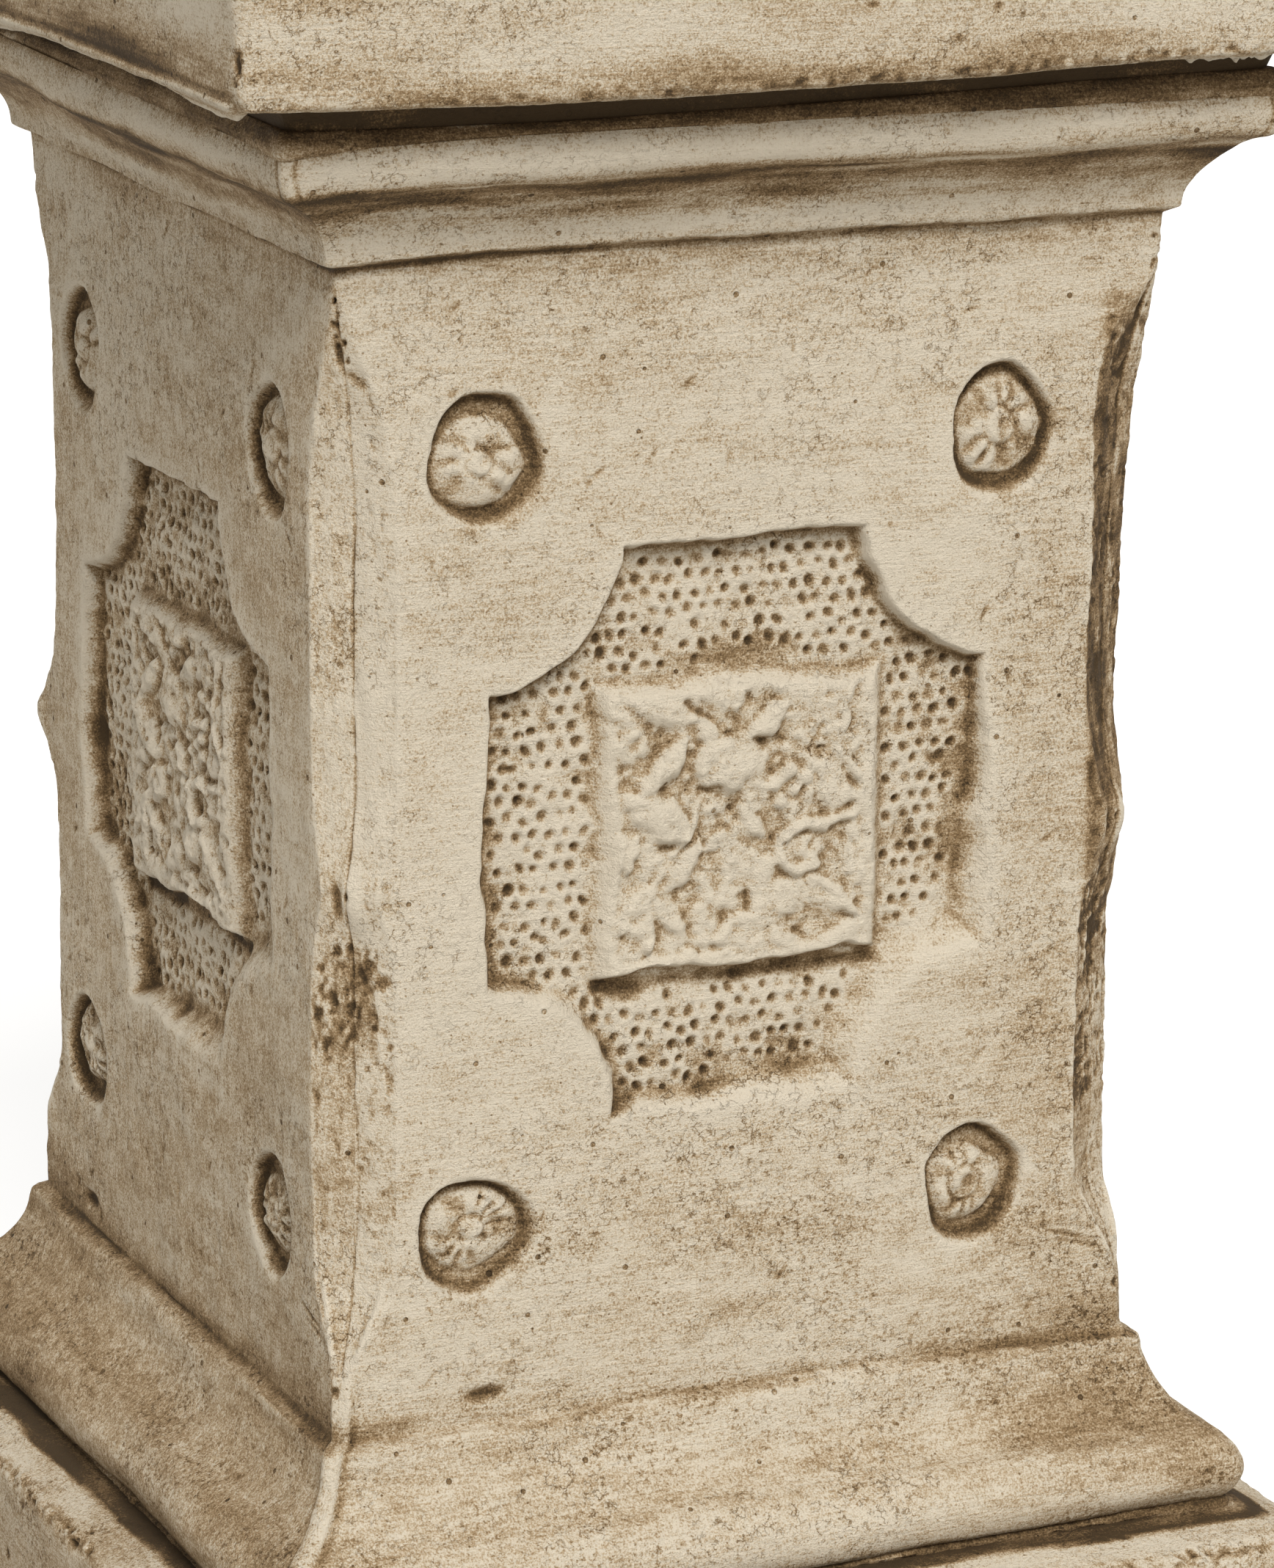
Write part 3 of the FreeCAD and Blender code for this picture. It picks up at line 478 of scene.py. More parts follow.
def draw_seams(relief):
    """Open seam along each mitre, and the plaster ridge and tongues over it near the front left foot."""
    z, to_corner, off = relief.z, relief.to_corner, relief.off
    wander = 0.9 * relief.grain(14.0, 400.0)[:, :1]
    line = bump((to_corner - wander * ease((z - 40) / 30)) / 0.9)
    patchy = 0.6 + 0.4 * ease(relief.grain(9.0, 400.0)[:, :1])
    seam = ease((z - 20) / 20) * (1 - ease((z - 405) / 20)) * patchy
    relief.height -= 0.8 * seam * line
    relief.wash_and_shade += 0.42 * seam * line
    ridge = (1 - ease((z - 26) / 26)) * (0.8 + 0.2 * relief.grain(12.0, 60.0)) * (relief.corner == 0)
    relief.height += ease((34 - off) / 12) * 1.7 * ridge * ease((6.2 - off) / 2.4)
    beside = bump((np.abs(to_corner + 0.8 * wander) - 6.0) / 1.2)
    relief.wash_and_shade += 0.30 * beside * ridge - 0.16 * ridge * bump(to_corner / 6.5)
    tongue = np.exp(-((off - 5.5 - 0.42 * np.clip(z - 34, 0, 60)) / 1.6) ** 2) * ease((z - 30) / 8)
    tongue = tongue * ease((66 - z) / 12) * (off < 22)
    relief.height += 1.2 * tongue
    relief.wash_and_shade -= 0.16 * tongue
    top_joint = ease((z - 456) / 3) * bump((off - 4.5) / 0.9)
    relief.height -= 0.5 * top_joint
    relief.wash_and_shade += 0.5 * top_joint


def mark_sides(relief, rng):
    """Handling marks on every side, clear of the sunk field."""
    for side in range(4):
        middle = (side + 0.5) * CORNER_SPAN
        relief.dent(FOOT_V + 16.5, middle - 103, 17, 6.0, 0.08, 2.4, 0.5)
        relief.dent(FOOT_V + 46, middle + 134, 24, 1.5, -0.3, 0.8, 0.4)
        relief.dent(FOOT_V + 42, middle + 139, 19, 1.3, -0.27, 0.7, 0.4)
        relief.dent(FOOT_V + 24, middle + 156.5, 5, 4, 0.1, 1.6, 0.6)
        for _ in range(46):
            x, z = rng.uniform(-128, 128), rng.uniform(12, 418)
            if field_edge(np.array(x), np.array(z))[0] > -6:
                continue
            relief.dent(FOOT_V + z, middle + x, rng.uniform(3, 9), 1.3, rng.normal(1.1, 0.5),
                        rng.uniform(0.3, 0.8), rng.uniform(0.1, 0.5))


# Lines along the mouldings, brown stain with painted shade in their creases and under the roll; the negative
# ones lighten, a painted highlight on the roll and a lighter band low on the cavetto: (strength, height,
# reach).
BANDS = ((0.34, 5.9, 2.0), (0.14, 6, 6), (0.10, 9, 12), (0.74, 428.6, 1.9), (0.12, 424, 8), (0.30, 454, 6.0),
         (0.08, -24, 14), (-0.18, 465, 7), (-0.13, 437, 6))


def settle_dirt_and_shade(relief, in_neck, in_base):
    """Dirt lies where the surface is hollow and is rubbed off what stands proud; along the mouldings it is
    stain with painted shade in the creases and under the roll, and a painted highlight on the roll.
    """
    z = relief.z
    hollow_small = relief.blur(relief.height, 1.6) - relief.height
    hollow_wide = relief.blur(relief.height, 7.0) - relief.height
    crevice = relief.blur(relief.height, 0.8) - relief.height
    relief.wash_and_shade += (np.clip(crevice, -0.2, 0.5) * 0.30 + np.clip(hollow_small, -0.7, 1.0) * 0.30
                    + np.clip(hollow_wide / 4.0, -0.35, 1.0) * 0.20 + 0.075 * in_base)
    band = sum(strength * bump((z - height) / reach) for strength, height, reach in BANDS)
    # painted shade down the cavetto under the roll and on the roll's top under the basin; a dark band at the
    # base's foot, joint stain and painted shade under the torus
    band = band + (0.37 * ease((z - 435) / 13) * ease((459.5 - z) / 2) + 0.24 * ease((z - 470) / 4)
                   + 0.30 * ease((-53 - z) / 4))
    streaks = 0.9 + 0.35 * relief.grain(1.2, 12.0) + (0.35 - 0.15 * in_neck) * relief.grain(4.0, 30.0)
    relief.wash_and_shade += band * np.clip(streaks, 0, 2.2)
    relief.height += 1.6 * ease((z - 456) / 4) * bump(relief.to_corner / 34) * (relief.corner == 1)
    relief.wash_and_shade += 0.055 + 0.035 * relief.grain(26.0, 40.0) + 0.03 * relief.grain(4.0, 12.0)
    relief.wash_and_shade += 0.04 * relief.grain(1.0, 3.0)
    on_left = (relief.u > 3.06 * CORNER_SPAN) & (relief.u < 3.95 * CORNER_SPAN)
    relief.wash_and_shade += 0.03 * on_left * ease((160 - z) / 100)
    relief.wash_and_shade += 0.05 * ease((100 - z) / 60) * np.clip(relief.grain(8.0, 30.0), 0, 2)
    relief.wash_and_shade = relief.blur(relief.wash_and_shade, 0.5)


def make_shaft_map():
    """Relief, and dirt with painted shade, of all four panels, mouldings and corners included."""
    relief = Map(PANEL.length, AROUND, 0.5, seed=11)
    rng = np.random.default_rng(5)
    relief.textures = relief.grain(3.0), relief.grain(9.0), relief.grain(1.1)
    relief.foliage = np.zeros(relief.shape)
    relief.z = z = PANEL.at(relief.v)[1][:, None]
    # distance from the nearest mitre, signed and plain, and the number of that corner
    relief.to_corner = ((relief.u + DIE_HALF) % CORNER_SPAN - DIE_HALF)[None, :]
    relief.off = np.abs(relief.to_corner)
    relief.corner = np.round(relief.u / CORNER_SPAN).astype(int)[None, :] % 4

    relief.height += 0.45 * relief.grain(24.0) + 0.16 * relief.grain(6.0) + 0.07 * relief.grain(1.6)
    relief.height += 0.05 * relief.grain(0.9, 6.0)
    for side in range(4):
        carve_side(relief, side, rng)
    relief.height += 1.1 * relief.blur(relief.foliage, 0.5)

    # mouldings run a little unevenly
    in_neck, in_base = ease((z - 424) / 8), ease((4 - z) / 8)
    relief.height += (in_neck * 0.45 + in_base * 0.6) * relief.grain(5.0, 26.0)
    relief.height -= 0.5 * bump((z - 4.5) / 3.0) * np.clip(0.6 + relief.grain(2.0, 14.0), 0, 1.8)

    pare_corners(relief)
    scrape_arches(relief)
    mark_corners(relief, rng)
    draw_seams(relief)
    mark_sides(relief, rng)
    settle_dirt_and_shade(relief, in_neck, in_base)
    return relief


# ---------------------------------------------------------------- meshes
def split_cells(points, detail, share, wrap_columns):
    """Which coarse cells are worth splitting: those that a flat patch fits worst."""
    lattice = np.concatenate([points, detail[..., None]], axis=2)
    lattice = np.concatenate([lattice, lattice[:1]], axis=0)
    if wrap_columns:
        lattice = np.concatenate([lattice, lattice[:, :1]], axis=1)
    rows, columns = (lattice.shape[0] - 1) // FINE, (lattice.shape[1] - 1) // FINE
    corner = lattice[::FINE, ::FINE]
    worst = np.zeros((rows, columns))
    for a in range(FINE):
        for b in range(FINE):
            fa, fb = a / FINE, b / FINE
            flat = ((corner[:-1, :-1] * (1 - fb) + corner[:-1, 1:] * fb) * (1 - fa)
                    + (corner[1:, :-1] * (1 - fb) + corner[1:, 1:] * fb) * fa)
            true = lattice[a:a + rows * FINE:FINE, b:b + columns * FINE:FINE]
            worst = np.maximum(worst, np.abs(true - flat).sum(axis=2))
    limit = np.sort(worst.ravel())[-max(int(worst.size * share), 1)]
    return worst >= max(limit, 0.05)


def quads(vertex, rows, columns, size):
    """Square faces whose first corners are at the given rows and columns."""
    corners = ((0, 0), (0, size), (size, size), (size, 0))
    return np.stack([vertex(rows + a, columns + b) for a, b in corners], 1).tolist()


def patchwork(name, points, wash_and_shade, share, wrap_columns=False):
    """Closed mesh over a lattice of rows and columns whose rows close up on themselves. Plain cells
    stay whole and detailed ones are split. Open ends in the columns' direction are capped."""
    split = split_cells(points, wash_and_shade * 2.0, share, wrap_columns)
    rows = split.shape[0]
    count_r, count_c = points.shape[:2]

    def vertex(a, b):
        return (a % count_r) * count_c + (b % count_c if wrap_columns else b)

    below, above = np.roll(split, 1, 0), np.roll(split, -1, 0)
    before, after = np.roll(split, 1, 1), np.roll(split, -1, 1)
    if not wrap_columns:
        before[:, 0] = after[:, -1] = False
    mixed = ~split & (below | above | before | after)
    i, j = np.nonzero(~split & ~mixed)
    faces = quads(vertex, i * FINE, j * FINE, FINE)
    i, j = np.nonzero(split)
    for a in range(FINE):
        for b in range(FINE):
            faces += quads(vertex, i * FINE + a, j * FINE + b, 1)
    # a plain cell beside split ones takes their extra vertices into its outline
    outline = (((0, 0), (0, 1), below), ((0, FINE), (1, 0), after),
               ((FINE, FINE), (0, -1), above), ((FINE, 0), (-1, 0), before))
    for i, j in zip(*np.nonzero(mixed)):
        faces.append([int(vertex(i * FINE + start[0] + k * step[0], j * FINE + start[1] + k * step[1]))
                      for start, step, beside in outline for k in range(FINE if beside[i, j] else 1)])
    ends = () if wrap_columns else ((0, split[:, 0], 1), (count_c - 1, split[:, -1], -1))
    for column, finer, order in ends:
        rim = [vertex(i * FINE + k, column) for i in range(rows) for k in range(FINE if finer[i] else 1)]
        faces.append(rim[::order])
    return build_mesh(name, points.reshape(-1, 3), wash_and_shade.reshape(-1), faces, len(ends))


def build_mesh(name, points, wash_and_shade, faces, caps):
    """Object from the vertices that the faces use; the last faces are flat caps, the rest is smooth."""
    used = np.unique(np.concatenate([np.asarray(face) for face in faces]))
    renumber = np.zeros(len(points), int)
    renumber[used] = np.arange(len(used))
    renumber = renumber.tolist()
    mesh = bpy.data.meshes.new(name)
    mesh.from_pydata((points[used] * MM).tolist(), [], [[renumber[n] for n in face] for face in faces])
    smooth = np.ones(len(faces), bool)
    smooth[len(faces) - caps:] = False
    mesh.polygons.foreach_set("use_smooth", smooth)
    mesh.set_sharp_from_angle(angle=SHARP_ANGLE)
    attribute = mesh.attributes.new("wash_and_shade", "FLOAT", "POINT")
    attribute.data.foreach_set("value", wash_and_shade[used].astype(np.float32))
    mesh.validate()
    piece = bpy.data.objects.new(name, mesh)
    bpy.context.scene.collection.objects.link(piece)
    return piece


def fine_steps(positions):
    """Each interval of a coarse list split into FINE equal steps."""
    positions = np.asarray(positions, float)
    inner = [positions[:-1] + (positions[1:] - positions[:-1]) * k / FINE for k in range(FINE)]
    return np.concatenate([np.stack(inner, 1).ravel(), positions[-1:]])


def softened(distance, leg, softness):
    """How far a surface has turned into a corner cut, and its turn as a share of the full one."""
    root = np.sqrt(distance ** 2 + softness ** 2)
    full = (1 + leg / np.sqrt(leg ** 2 + softness ** 2)) / 2
    return (distance + root) / 2, (1 + distance / root) / 2 / full


def turned(x, y, z, side):
    """Points of the front side turned about the axis to another side."""
    c, s = round(math.cos(side * math.pi / 2)), round(math.sin(side * math.pi / 2))
    return np.stack([c * x - s * y, s * x + c * y, z], 2)


PANEL_ROWS, PANEL_COLUMNS = ((232, 134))
NECK_LOW, NECK_BLEND = 411.0, 15.0    # the neck's rise begins at this height, over this length
LEG_ROWS = 15                         # the corner cut is evened out over this many rows


def panel_points(side, relief):
    """Lattice of one panel: up the face, over the top bed, down the inside and along the bottom bed."""
    rows_v = fine_steps(np.linspace(0, PANEL.length, PANEL_ROWS))
    columns = fine_steps(np.linspace(-1, 1, PANEL_COLUMNS))
    v, t = rows_v[:, None] + 0 * columns, columns[None, :] + 0 * rows_v[:, None]
    offset, z, out, up = PANEL.at(v)
    u = (side + 0.5) * CORNER_SPAN + t * DIE_HALF
    height, wash_and_shade = relief.sample(relief.height, v, u), relief.sample(relief.wash_and_shade, v, u)
    half = DIE_HALF + offset
    x = np.abs(t) * half
    z = z + ease((z - NECK_LOW) / NECK_BLEND) * along(NECK_RISE, u)
    legs = []
    for after in (0, 1):
        ends = []
        for corner, end in ((side, 1 - after), ((side + 1) % 4, after)):
            leg = np.pad(corner_leg(corner, end, rows_v - FOOT_V), LEG_ROWS // 2, "edge")
            ends.append(np.convolve(leg, np.ones(LEG_ROWS) / LEG_ROWS, "valid")[:, None])
        legs.append(np.where(t < 0, *ends))
    leg, share_out = legs[0], legs[1] / (legs[0] + legs[1])
    cut, share = softened(x - (half - leg), leg, 0.4 + 0.9 * np.clip(leg / 20, 0, 1))
    share = share * share_out
    norm = np.hypot(share, 1 - share)
    across = np.sign(t) * (x - cut * share_out + height * out * share / norm)
    outward = half - cut * share_out + height * out * (1 - share) / norm
    face = np.stack([across, -outward, DIE_Z + z + height * up], 2)

    inner = CAVITY_HALF - DIE_HALF
    line = [(TOP_EDGE + (inner - TOP_EDGE) * k / 3, PANEL_HIGH) for k in (0, 1, 2)]
    line += [(inner, PANEL_HIGH + (PANEL_LOW - PANEL_HIGH) * k / 12) for k in range(13)]
    line += [(inner + (FOOT_EDGE - inner) * k / 3, PANEL_LOW) for k in (1, 2, 3)]
    back_offset, back_z = (fine_steps(values)[1:-1, None] for values in zip(*line))
    half = DIE_HALF + back_offset
    back = np.stack([columns * half, -half + 0 * columns, DIE_Z + back_z + 0 * columns], 2)
    thirds = np.array([1 / 3, 2 / 3])[:, None, None]
    back[0:2] = face[-1] + (back[2] - face[-1]) * thirds
    back[-2:] = back[-3] + (face[0] - back[-3]) * thirds
    points = np.concatenate([face, back], 0)
    wash_and_shade = np.concatenate([wash_and_shade, np.full(back.shape[:2], 0.25)], 0)
    return turned(points[..., 0], points[..., 1], points[..., 2], side), wash_and_shade


def basin_rise(place, z):
    return along(BASIN_RISE, place) * ease((760 - z) / 120)


def bed_rise(place, z):
    top = np.clip((z - PANEL_TOP) / (BASIN_FOOT - PANEL_TOP), 0, 1)
    return along(BASIN_RISE, place) * top + along(NECK_RISE, place) * (1 - top)


class Course:
    """A square stone with a map of its own. Each step is (size, height, roundness, cells from the last
    step), listed up the outside from the bottom of the hole through its middle."""

    def __init__(self, steps, half_u, map_step, seed):
        self.profile = np.array([step[:3] for step in steps], float)
        stretches = np.diff(self.profile, axis=0)
        self.lengths = np.concatenate([[0], np.cumsum(np.hypot(stretches[:, 0], stretches[:, 1]))])
        self.rows = [0.0]
        for index in range(1, len(steps)):
            count = max(1, steps[index][3] // (1))
            self.rows += list(np.linspace(self.lengths[index - 1], self.lengths[index], count + 1)[1:])
        self.half_u = half_u
        self.side = 2 * half_u                 # u of one side
        self.map = Map(self.lengths[-1], 4 * self.side, map_step, seed)

    def v_of(self, step):
        return self.lengths[step]

    def at(self, v, column):
        return np.interp(v, self.lengths, self.profile[:, column])[:, None]

    def points(self, columns, leg, softness, rise):
        """Lattice that goes right round: each row is a square with cut corners, or a circle."""
        v = fine_steps(self.rows)[:-1]
        size, z, roundness = (self.at(v, column) for column in range(3))
        step = 0.25
        slope_size, slope_z = (self.at(v + step, column) - self.at(v - step, column) for column in (0, 1))
        slope = np.maximum(np.hypot(slope_size, slope_z), 1e-6)
        out, up = slope_z / slope, -slope_size / slope
        t = fine_steps(np.linspace(-1, 1, columns + 1))[:-1]
        angle = np.arctan2(t, 1.0)[None, :]
        x = np.abs(t)[None, :] * size
        cut, share = softened(x - (size - leg), leg, softness)
        norm = np.hypot(share / 2, 1 - share / 2)
        sides, side_wash_and_shade = [], []
        for side in range(4):
            u = (side * 2 + 1 + t) * self.half_u
            vv, uu = v[:, None] + 0 * u, u[None, :] + 0 * v[:, None]
            height = self.map.sample(self.map.height, vv, uu)
            across = np.sign(t) * (x - cut / 2 + height * out * (share / 2) / norm)
            outward = size - cut / 2 + height * out * (1 - share / 2) / norm
            radius = size + height * out
            across = across * (1 - roundness) + radius * np.sin(angle) * roundness
            outward = outward * (1 - roundness) + radius * np.cos(angle) * roundness
            place = (uu / self.half_u * DIE_HALF) % AROUND
            level = z + (1 - roundness) * rise(place, z) if rise else z
            sides.append(turned(across, -outward, level + height * up, side))
            side_wash_and_shade.append(self.map.sample(self.map.wash_and_shade, vv, uu))
        return np.concatenate(sides, 1), np.concatenate(side_wash_and_shade, 1)

    def piece(self, name, columns, leg, softness, share, rise=None):
        points, wash_and_shade = self.points(columns, leg, softness, rise)
        return patchwork(name, points, wash_and_shade, share, wrap_columns=True)


# ---------------------------------------------------------------- shading
class Shade:
    """Small helper for writing node trees in one line each."""

    def __init__(self, name):
        self.material = bpy.data.materials.new(name)
        self.material.use_nodes = True
        self.tree = self.material.node_tree
        self.tree.nodes.clear()
        self.position = self.node("TexCoord", 3)

    def node(self, kind, out=0, settings=None, **inputs):
        """New node's output; an input is a socket's name, or i and its number."""
        node = self.tree.nodes.new("ShaderNode" + kind)
        for key, value in (settings or {}).items():
            setattr(node, key, value)
        for key, value in inputs.items():
            by_number = key[0] == "i" and key[1:].isdigit()
            socket = node.inputs[int(key[1:]) if by_number else key.replace("_", " ")]
            if isinstance(value, bpy.types.NodeSocket):
                self.tree.links.new(value, socket)
            else:
                socket.default_value = value
        return node.outputs[out]

    def noise(self, scale, detail=4.0, rough=0.6, where=None, out=0):
        return self.node("TexNoise", out, Vector=where or self.position, Scale=scale, Detail=detail,
                         Roughness=rough)

    def stretch(self, x, y, z):
        return self.node("VectorMath", 0, {"operation": "MULTIPLY"}, i0=self.position, i1=(x, y, z))

    def sum(self, *terms):
        total = terms[0]
        for term in terms[1:]:
            total = self.node("Math", 0, {"operation": "ADD"}, i0=total, i1=term)
        return total

    def times(self, a, b, plus=0.0):
        return self.node("Math", 0, {"operation": "MULTIPLY_ADD"}, i0=a, i1=b, i2=plus)

    def swing(self, value, spread):
        """A texture's values spread evenly above and below zero."""
        return self.times(value, spread, -spread / 2)

    def level(self, value, low, high, to_low=0.0, to_high=1.0):
        return self.node("MapRange", 0, {"interpolation_type": "SMOOTHSTEP"}, Value=value, From_Min=low,
                         From_Max=high, To_Min=to_low, To_Max=to_high)

    def mix(self, share, a, b):
        return self.node("Mix", 2, {"data_type": "RGBA"}, i0=share, i6=a, i7=b)

    def ramp(self, value, *stops):
        node = self.tree.nodes.new("ShaderNodeValToRGB")
        self.tree.links.new(value, node.inputs[0])
        elements = node.color_ramp.elements
        while len(elements) < len(stops):
            elements.new(0.5)
        for element, (place, colour) in zip(elements, stops):
            element.position = place
            element.color = colour
        return node.outputs[0]

    def surface(self, colour, roughness, height, distance, metallic=0.0, specular=0.5):
        normal = self.node("Bump", 0, None, Strength=1.0, Distance=distance, Height=height)
        shader = self.node("BsdfPrincipled", 0, None, Base_Color=colour, Roughness=roughness,
                           Metallic=metallic, Specular_IOR_Level=specular, Normal=normal)
        output = self.tree.nodes.new("ShaderNodeOutputMaterial")
        self.tree.links.new(shader, output.inputs[0])
        return self.material


def colour(red, green, blue):
    return (red, green, blue, 1.0)


# Colours of the stain and the painted shade, from bare stone to the thickest dirt and deepest shade.
STONE_COLOURS = ((0.0, colour(0.75, 0.67, 0.54)), (0.12, colour(0.665, 0.57, 0.43)),
                 (0.28, colour(0.515, 0.39, 0.245)), (0.50, colour(0.305, 0.20, 0.098)),
                 (0.78, colour(0.14, 0.085, 0.036)), (1.0, colour(0.07, 0.043, 0.018)))


def stone(name, streak=(60, 60, 980), lift=0.0):
    """Cream cast stone under a brown stain wiped back and painted shade, with flaking, air holes and sand."""
    g = Shade(name)
    # the mesh's attribute: brown stain in hollows, and painted shade in creases, under overhangs and on sides
    # turned from the light
    wash_and_shade = g.node("Attribute", 2, {"attribute_name": "wash_and_shade"})
    cloud = g.noise(9, 3, 0.55)
    mottle = g.noise(60, 5, 0.7)
    fine = g.noise(520, 6, 0.74)
    sand = g.noise(1300, 3, 0.7)
    brushed = g.noise(1.0, 5, 0.7, g.stretch(*streak))
    amount = g.sum(wash_and_shade, lift, g.swing(cloud, 0.14), g.swing(mottle, 0.24), g.swing(fine, 0.80),
                   g.swing(brushed, 0.62), g.swing(sand, 1.5))
    # dark specks gather in patches, most of all low on the object
    specks = g.level(g.noise(1.0, 3, 0.62, g.stretch(430, 430, 560)), 0.555, 0.62)
    patches = g.level(g.noise(24, 5, 0.7), 0.42, 0.64)
    low_zone = g.level(g.node("SeparateXYZ", 2, Vector=g.position), 0.30, 0.22, 0.07, 0.34)
    specks = g.times(specks, patches)
    amount = g.sum(amount, g.times(specks, low_zone))
    # broken, curling edges of flakes
    warp = g.node("VectorMath", 0, {"operation": "MULTIPLY_ADD"}, i0=g.noise(260, 4, 0.65, out=1),
                  i1=(0.0055, 0.0055, 0.0055), i2=g.position)
    cracks = g.node("TexVoronoi", 0, {"feature": "DISTANCE_TO_EDGE"}, Vector=warp, Scale=310.0)
    broken = g.level(g.noise(230, 3, 0.6), 0.50, 0.58)
    flaking = g.times(g.level(g.noise(16, 4, 0.65), 0.38, 0.62), broken)
    line = g.times(g.level(cracks, 0.075, 0.015), flaking)
    # air holes, large and tiny
    hole = g.level(g.node("TexVoronoi", 0, None, Vector=g.position, Scale=62.0), 0.075, 0.055)
    tiny = g.level(g.node("TexVoronoi", 0, None, Vector=g.position, Scale=190.0), 0.10, 0.06)
    amount = g.sum(amount, g.times(line, 0.32), g.times(hole, 0.50), g.times(tiny, 0.35))
    height = g.sum(g.times(fine, 1.9), g.times(sand, 1.2), g.times(line, -0.9), g.times(hole, -1.5),
                   g.times(tiny, -0.6), g.times(brushed, 0.9), g.times(mottle, 1.6), g.times(specks, -0.3))
    roughness = g.level(amount, 0.0, 0.8, 0.92, 0.74)
    return g.surface(g.ramp(amount, *STONE_COLOURS), roughness, height, 0.0010, specular=0.25)


def plain(name, light, dark, scale, roughness=0.85, distance=0.0006, metallic=0.0):
    """Two mixed tones of one dull substance."""
    g = Shade(name)
    big, small = g.noise(scale, 5, 0.62), g.noise(scale * 9, 4, 0.65)
    base = g.ramp(g.sum(g.times(big, 0.7), g.times(small, 0.3)), (0.32, dark), (0.68, light))
    return g.surface(base, g.times(small, 0.2, roughness - 0.1), g.sum(big, small), distance, metallic)


def metal(name, bright, tarnish, scale=26.0, roughness=0.3, distance=0.0003):
    """Metal that has gone dull in soft patches, with fine turning and handling marks."""
    g = Shade(name)
    patches = g.level(g.noise(scale, 5, 0.6), 0.42, 0.66)
    small, scratches = g.noise(scale * 12, 4, 0.6), g.noise(1.0, 3, 0.5, g.stretch(1500, 160, 900))
    base = g.mix(patches, bright, tarnish)
    rough = g.sum(g.times(patches, 0.22, roughness), g.swing(small, 0.12), g.swing(scratches, 0.08))
    return g.surface(base, rough, g.sum(small, g.times(scratches, 0.3)), distance, metallic=1.0)


def dress(piece, material, node, body="stonework"):
    """Gives a detailed piece its finish and ties it to the CAD node that it stands for."""
    piece.data.materials.clear()
    piece.data.materials.append(material)
    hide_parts(node)
    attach(piece, body)


# ---------------------------------------------------------------- build: pedestal
shaft = make_shaft_map()
stone_front = stone("stone_brushed_across")
# the left panel's stone is brushed downwards and lifted darker: a browner copy that paints shade on the side
# turned from the light
stone_left_shaded = stone("stone_brushed_down_painted_shade", streak=(330, 330, 85), lift=0.125)
SPLIT_SHARES = (0.225, 0.17, 0.13, 0.20)       # share of each panel's cells that are split
for side, (node, share) in enumerate(zip(PANEL_NAMES, SPLIT_SHARES)):
    points, wash_and_shade = panel_points(side, shaft)
    panel = patchwork(node + "_casting", points, wash_and_shade, share)
    dress(panel, stone_left_shaded if node == "left_panel" else stone_front, node)


# ---------------------------------------------------------------- build: courses that go right round
def weather(course, first, last, seed):
    """Waviness and dirt between two steps of a course's outside; its map, v and random numbers."""
    m = course.map
    v = m.v[:, None]
    shown = ease((v - course.v_of(first)) / 4) * ease((course.v_of(last) - v) / 4)
    m.height += shown * (0.35 * m.grain(30.0) + 0.12 * m.grain(5.0) + 0.06 * m.grain(1.6))
    m.wash_and_shade += 0.10 + 0.08 * m.grain(18.0, 50.0) + 0.05 * m.grain(4.0, 14.0)
    return m, v, np.random.default_rng(seed)


def crumble(m, v, centre, width, depth, stain, share=1.0):
    """Broken granular strip along an arris, sound at the left end of each side."""
    sound = ease(((m.u % (m.u[-1] / 4)) - 20) / 120)[None, :]
    strip = share * bump((v - centre) / width) * (0.35 + 0.65 * sound)
    bites = np.clip(0.8 * m.grain(1.2) + 0.5 * m.grain(4.0, 9.0) + 0.5, -0.4, 2.5)
    m.height -= depth * strip * bites
    m.wash_and_shade += stain * strip * (0.5 + 0.7 * np.clip(m.grain(1.1) + 0.4 * m.grain(6.0, 20.0), -0.7, 2))


def stain_hollows(m):
    m.wash_and_shade += np.clip(m.blur(m.height, 2.0) - m.height, -0.8, 1.2) * 0.4


def bowl_steps():
    """The carved bowl under the liner, from its rim down to the flat."""
    sphere, centre = 174.03, 937.03
    rim, flat = 169.6, 45.0
    return [(sphere * math.sin(angle), centre - sphere * math.cos(angle), 1, 1)
            for angle in np.linspace(math.asin(rim / sphere), math.asin(flat / sphere), 15)]


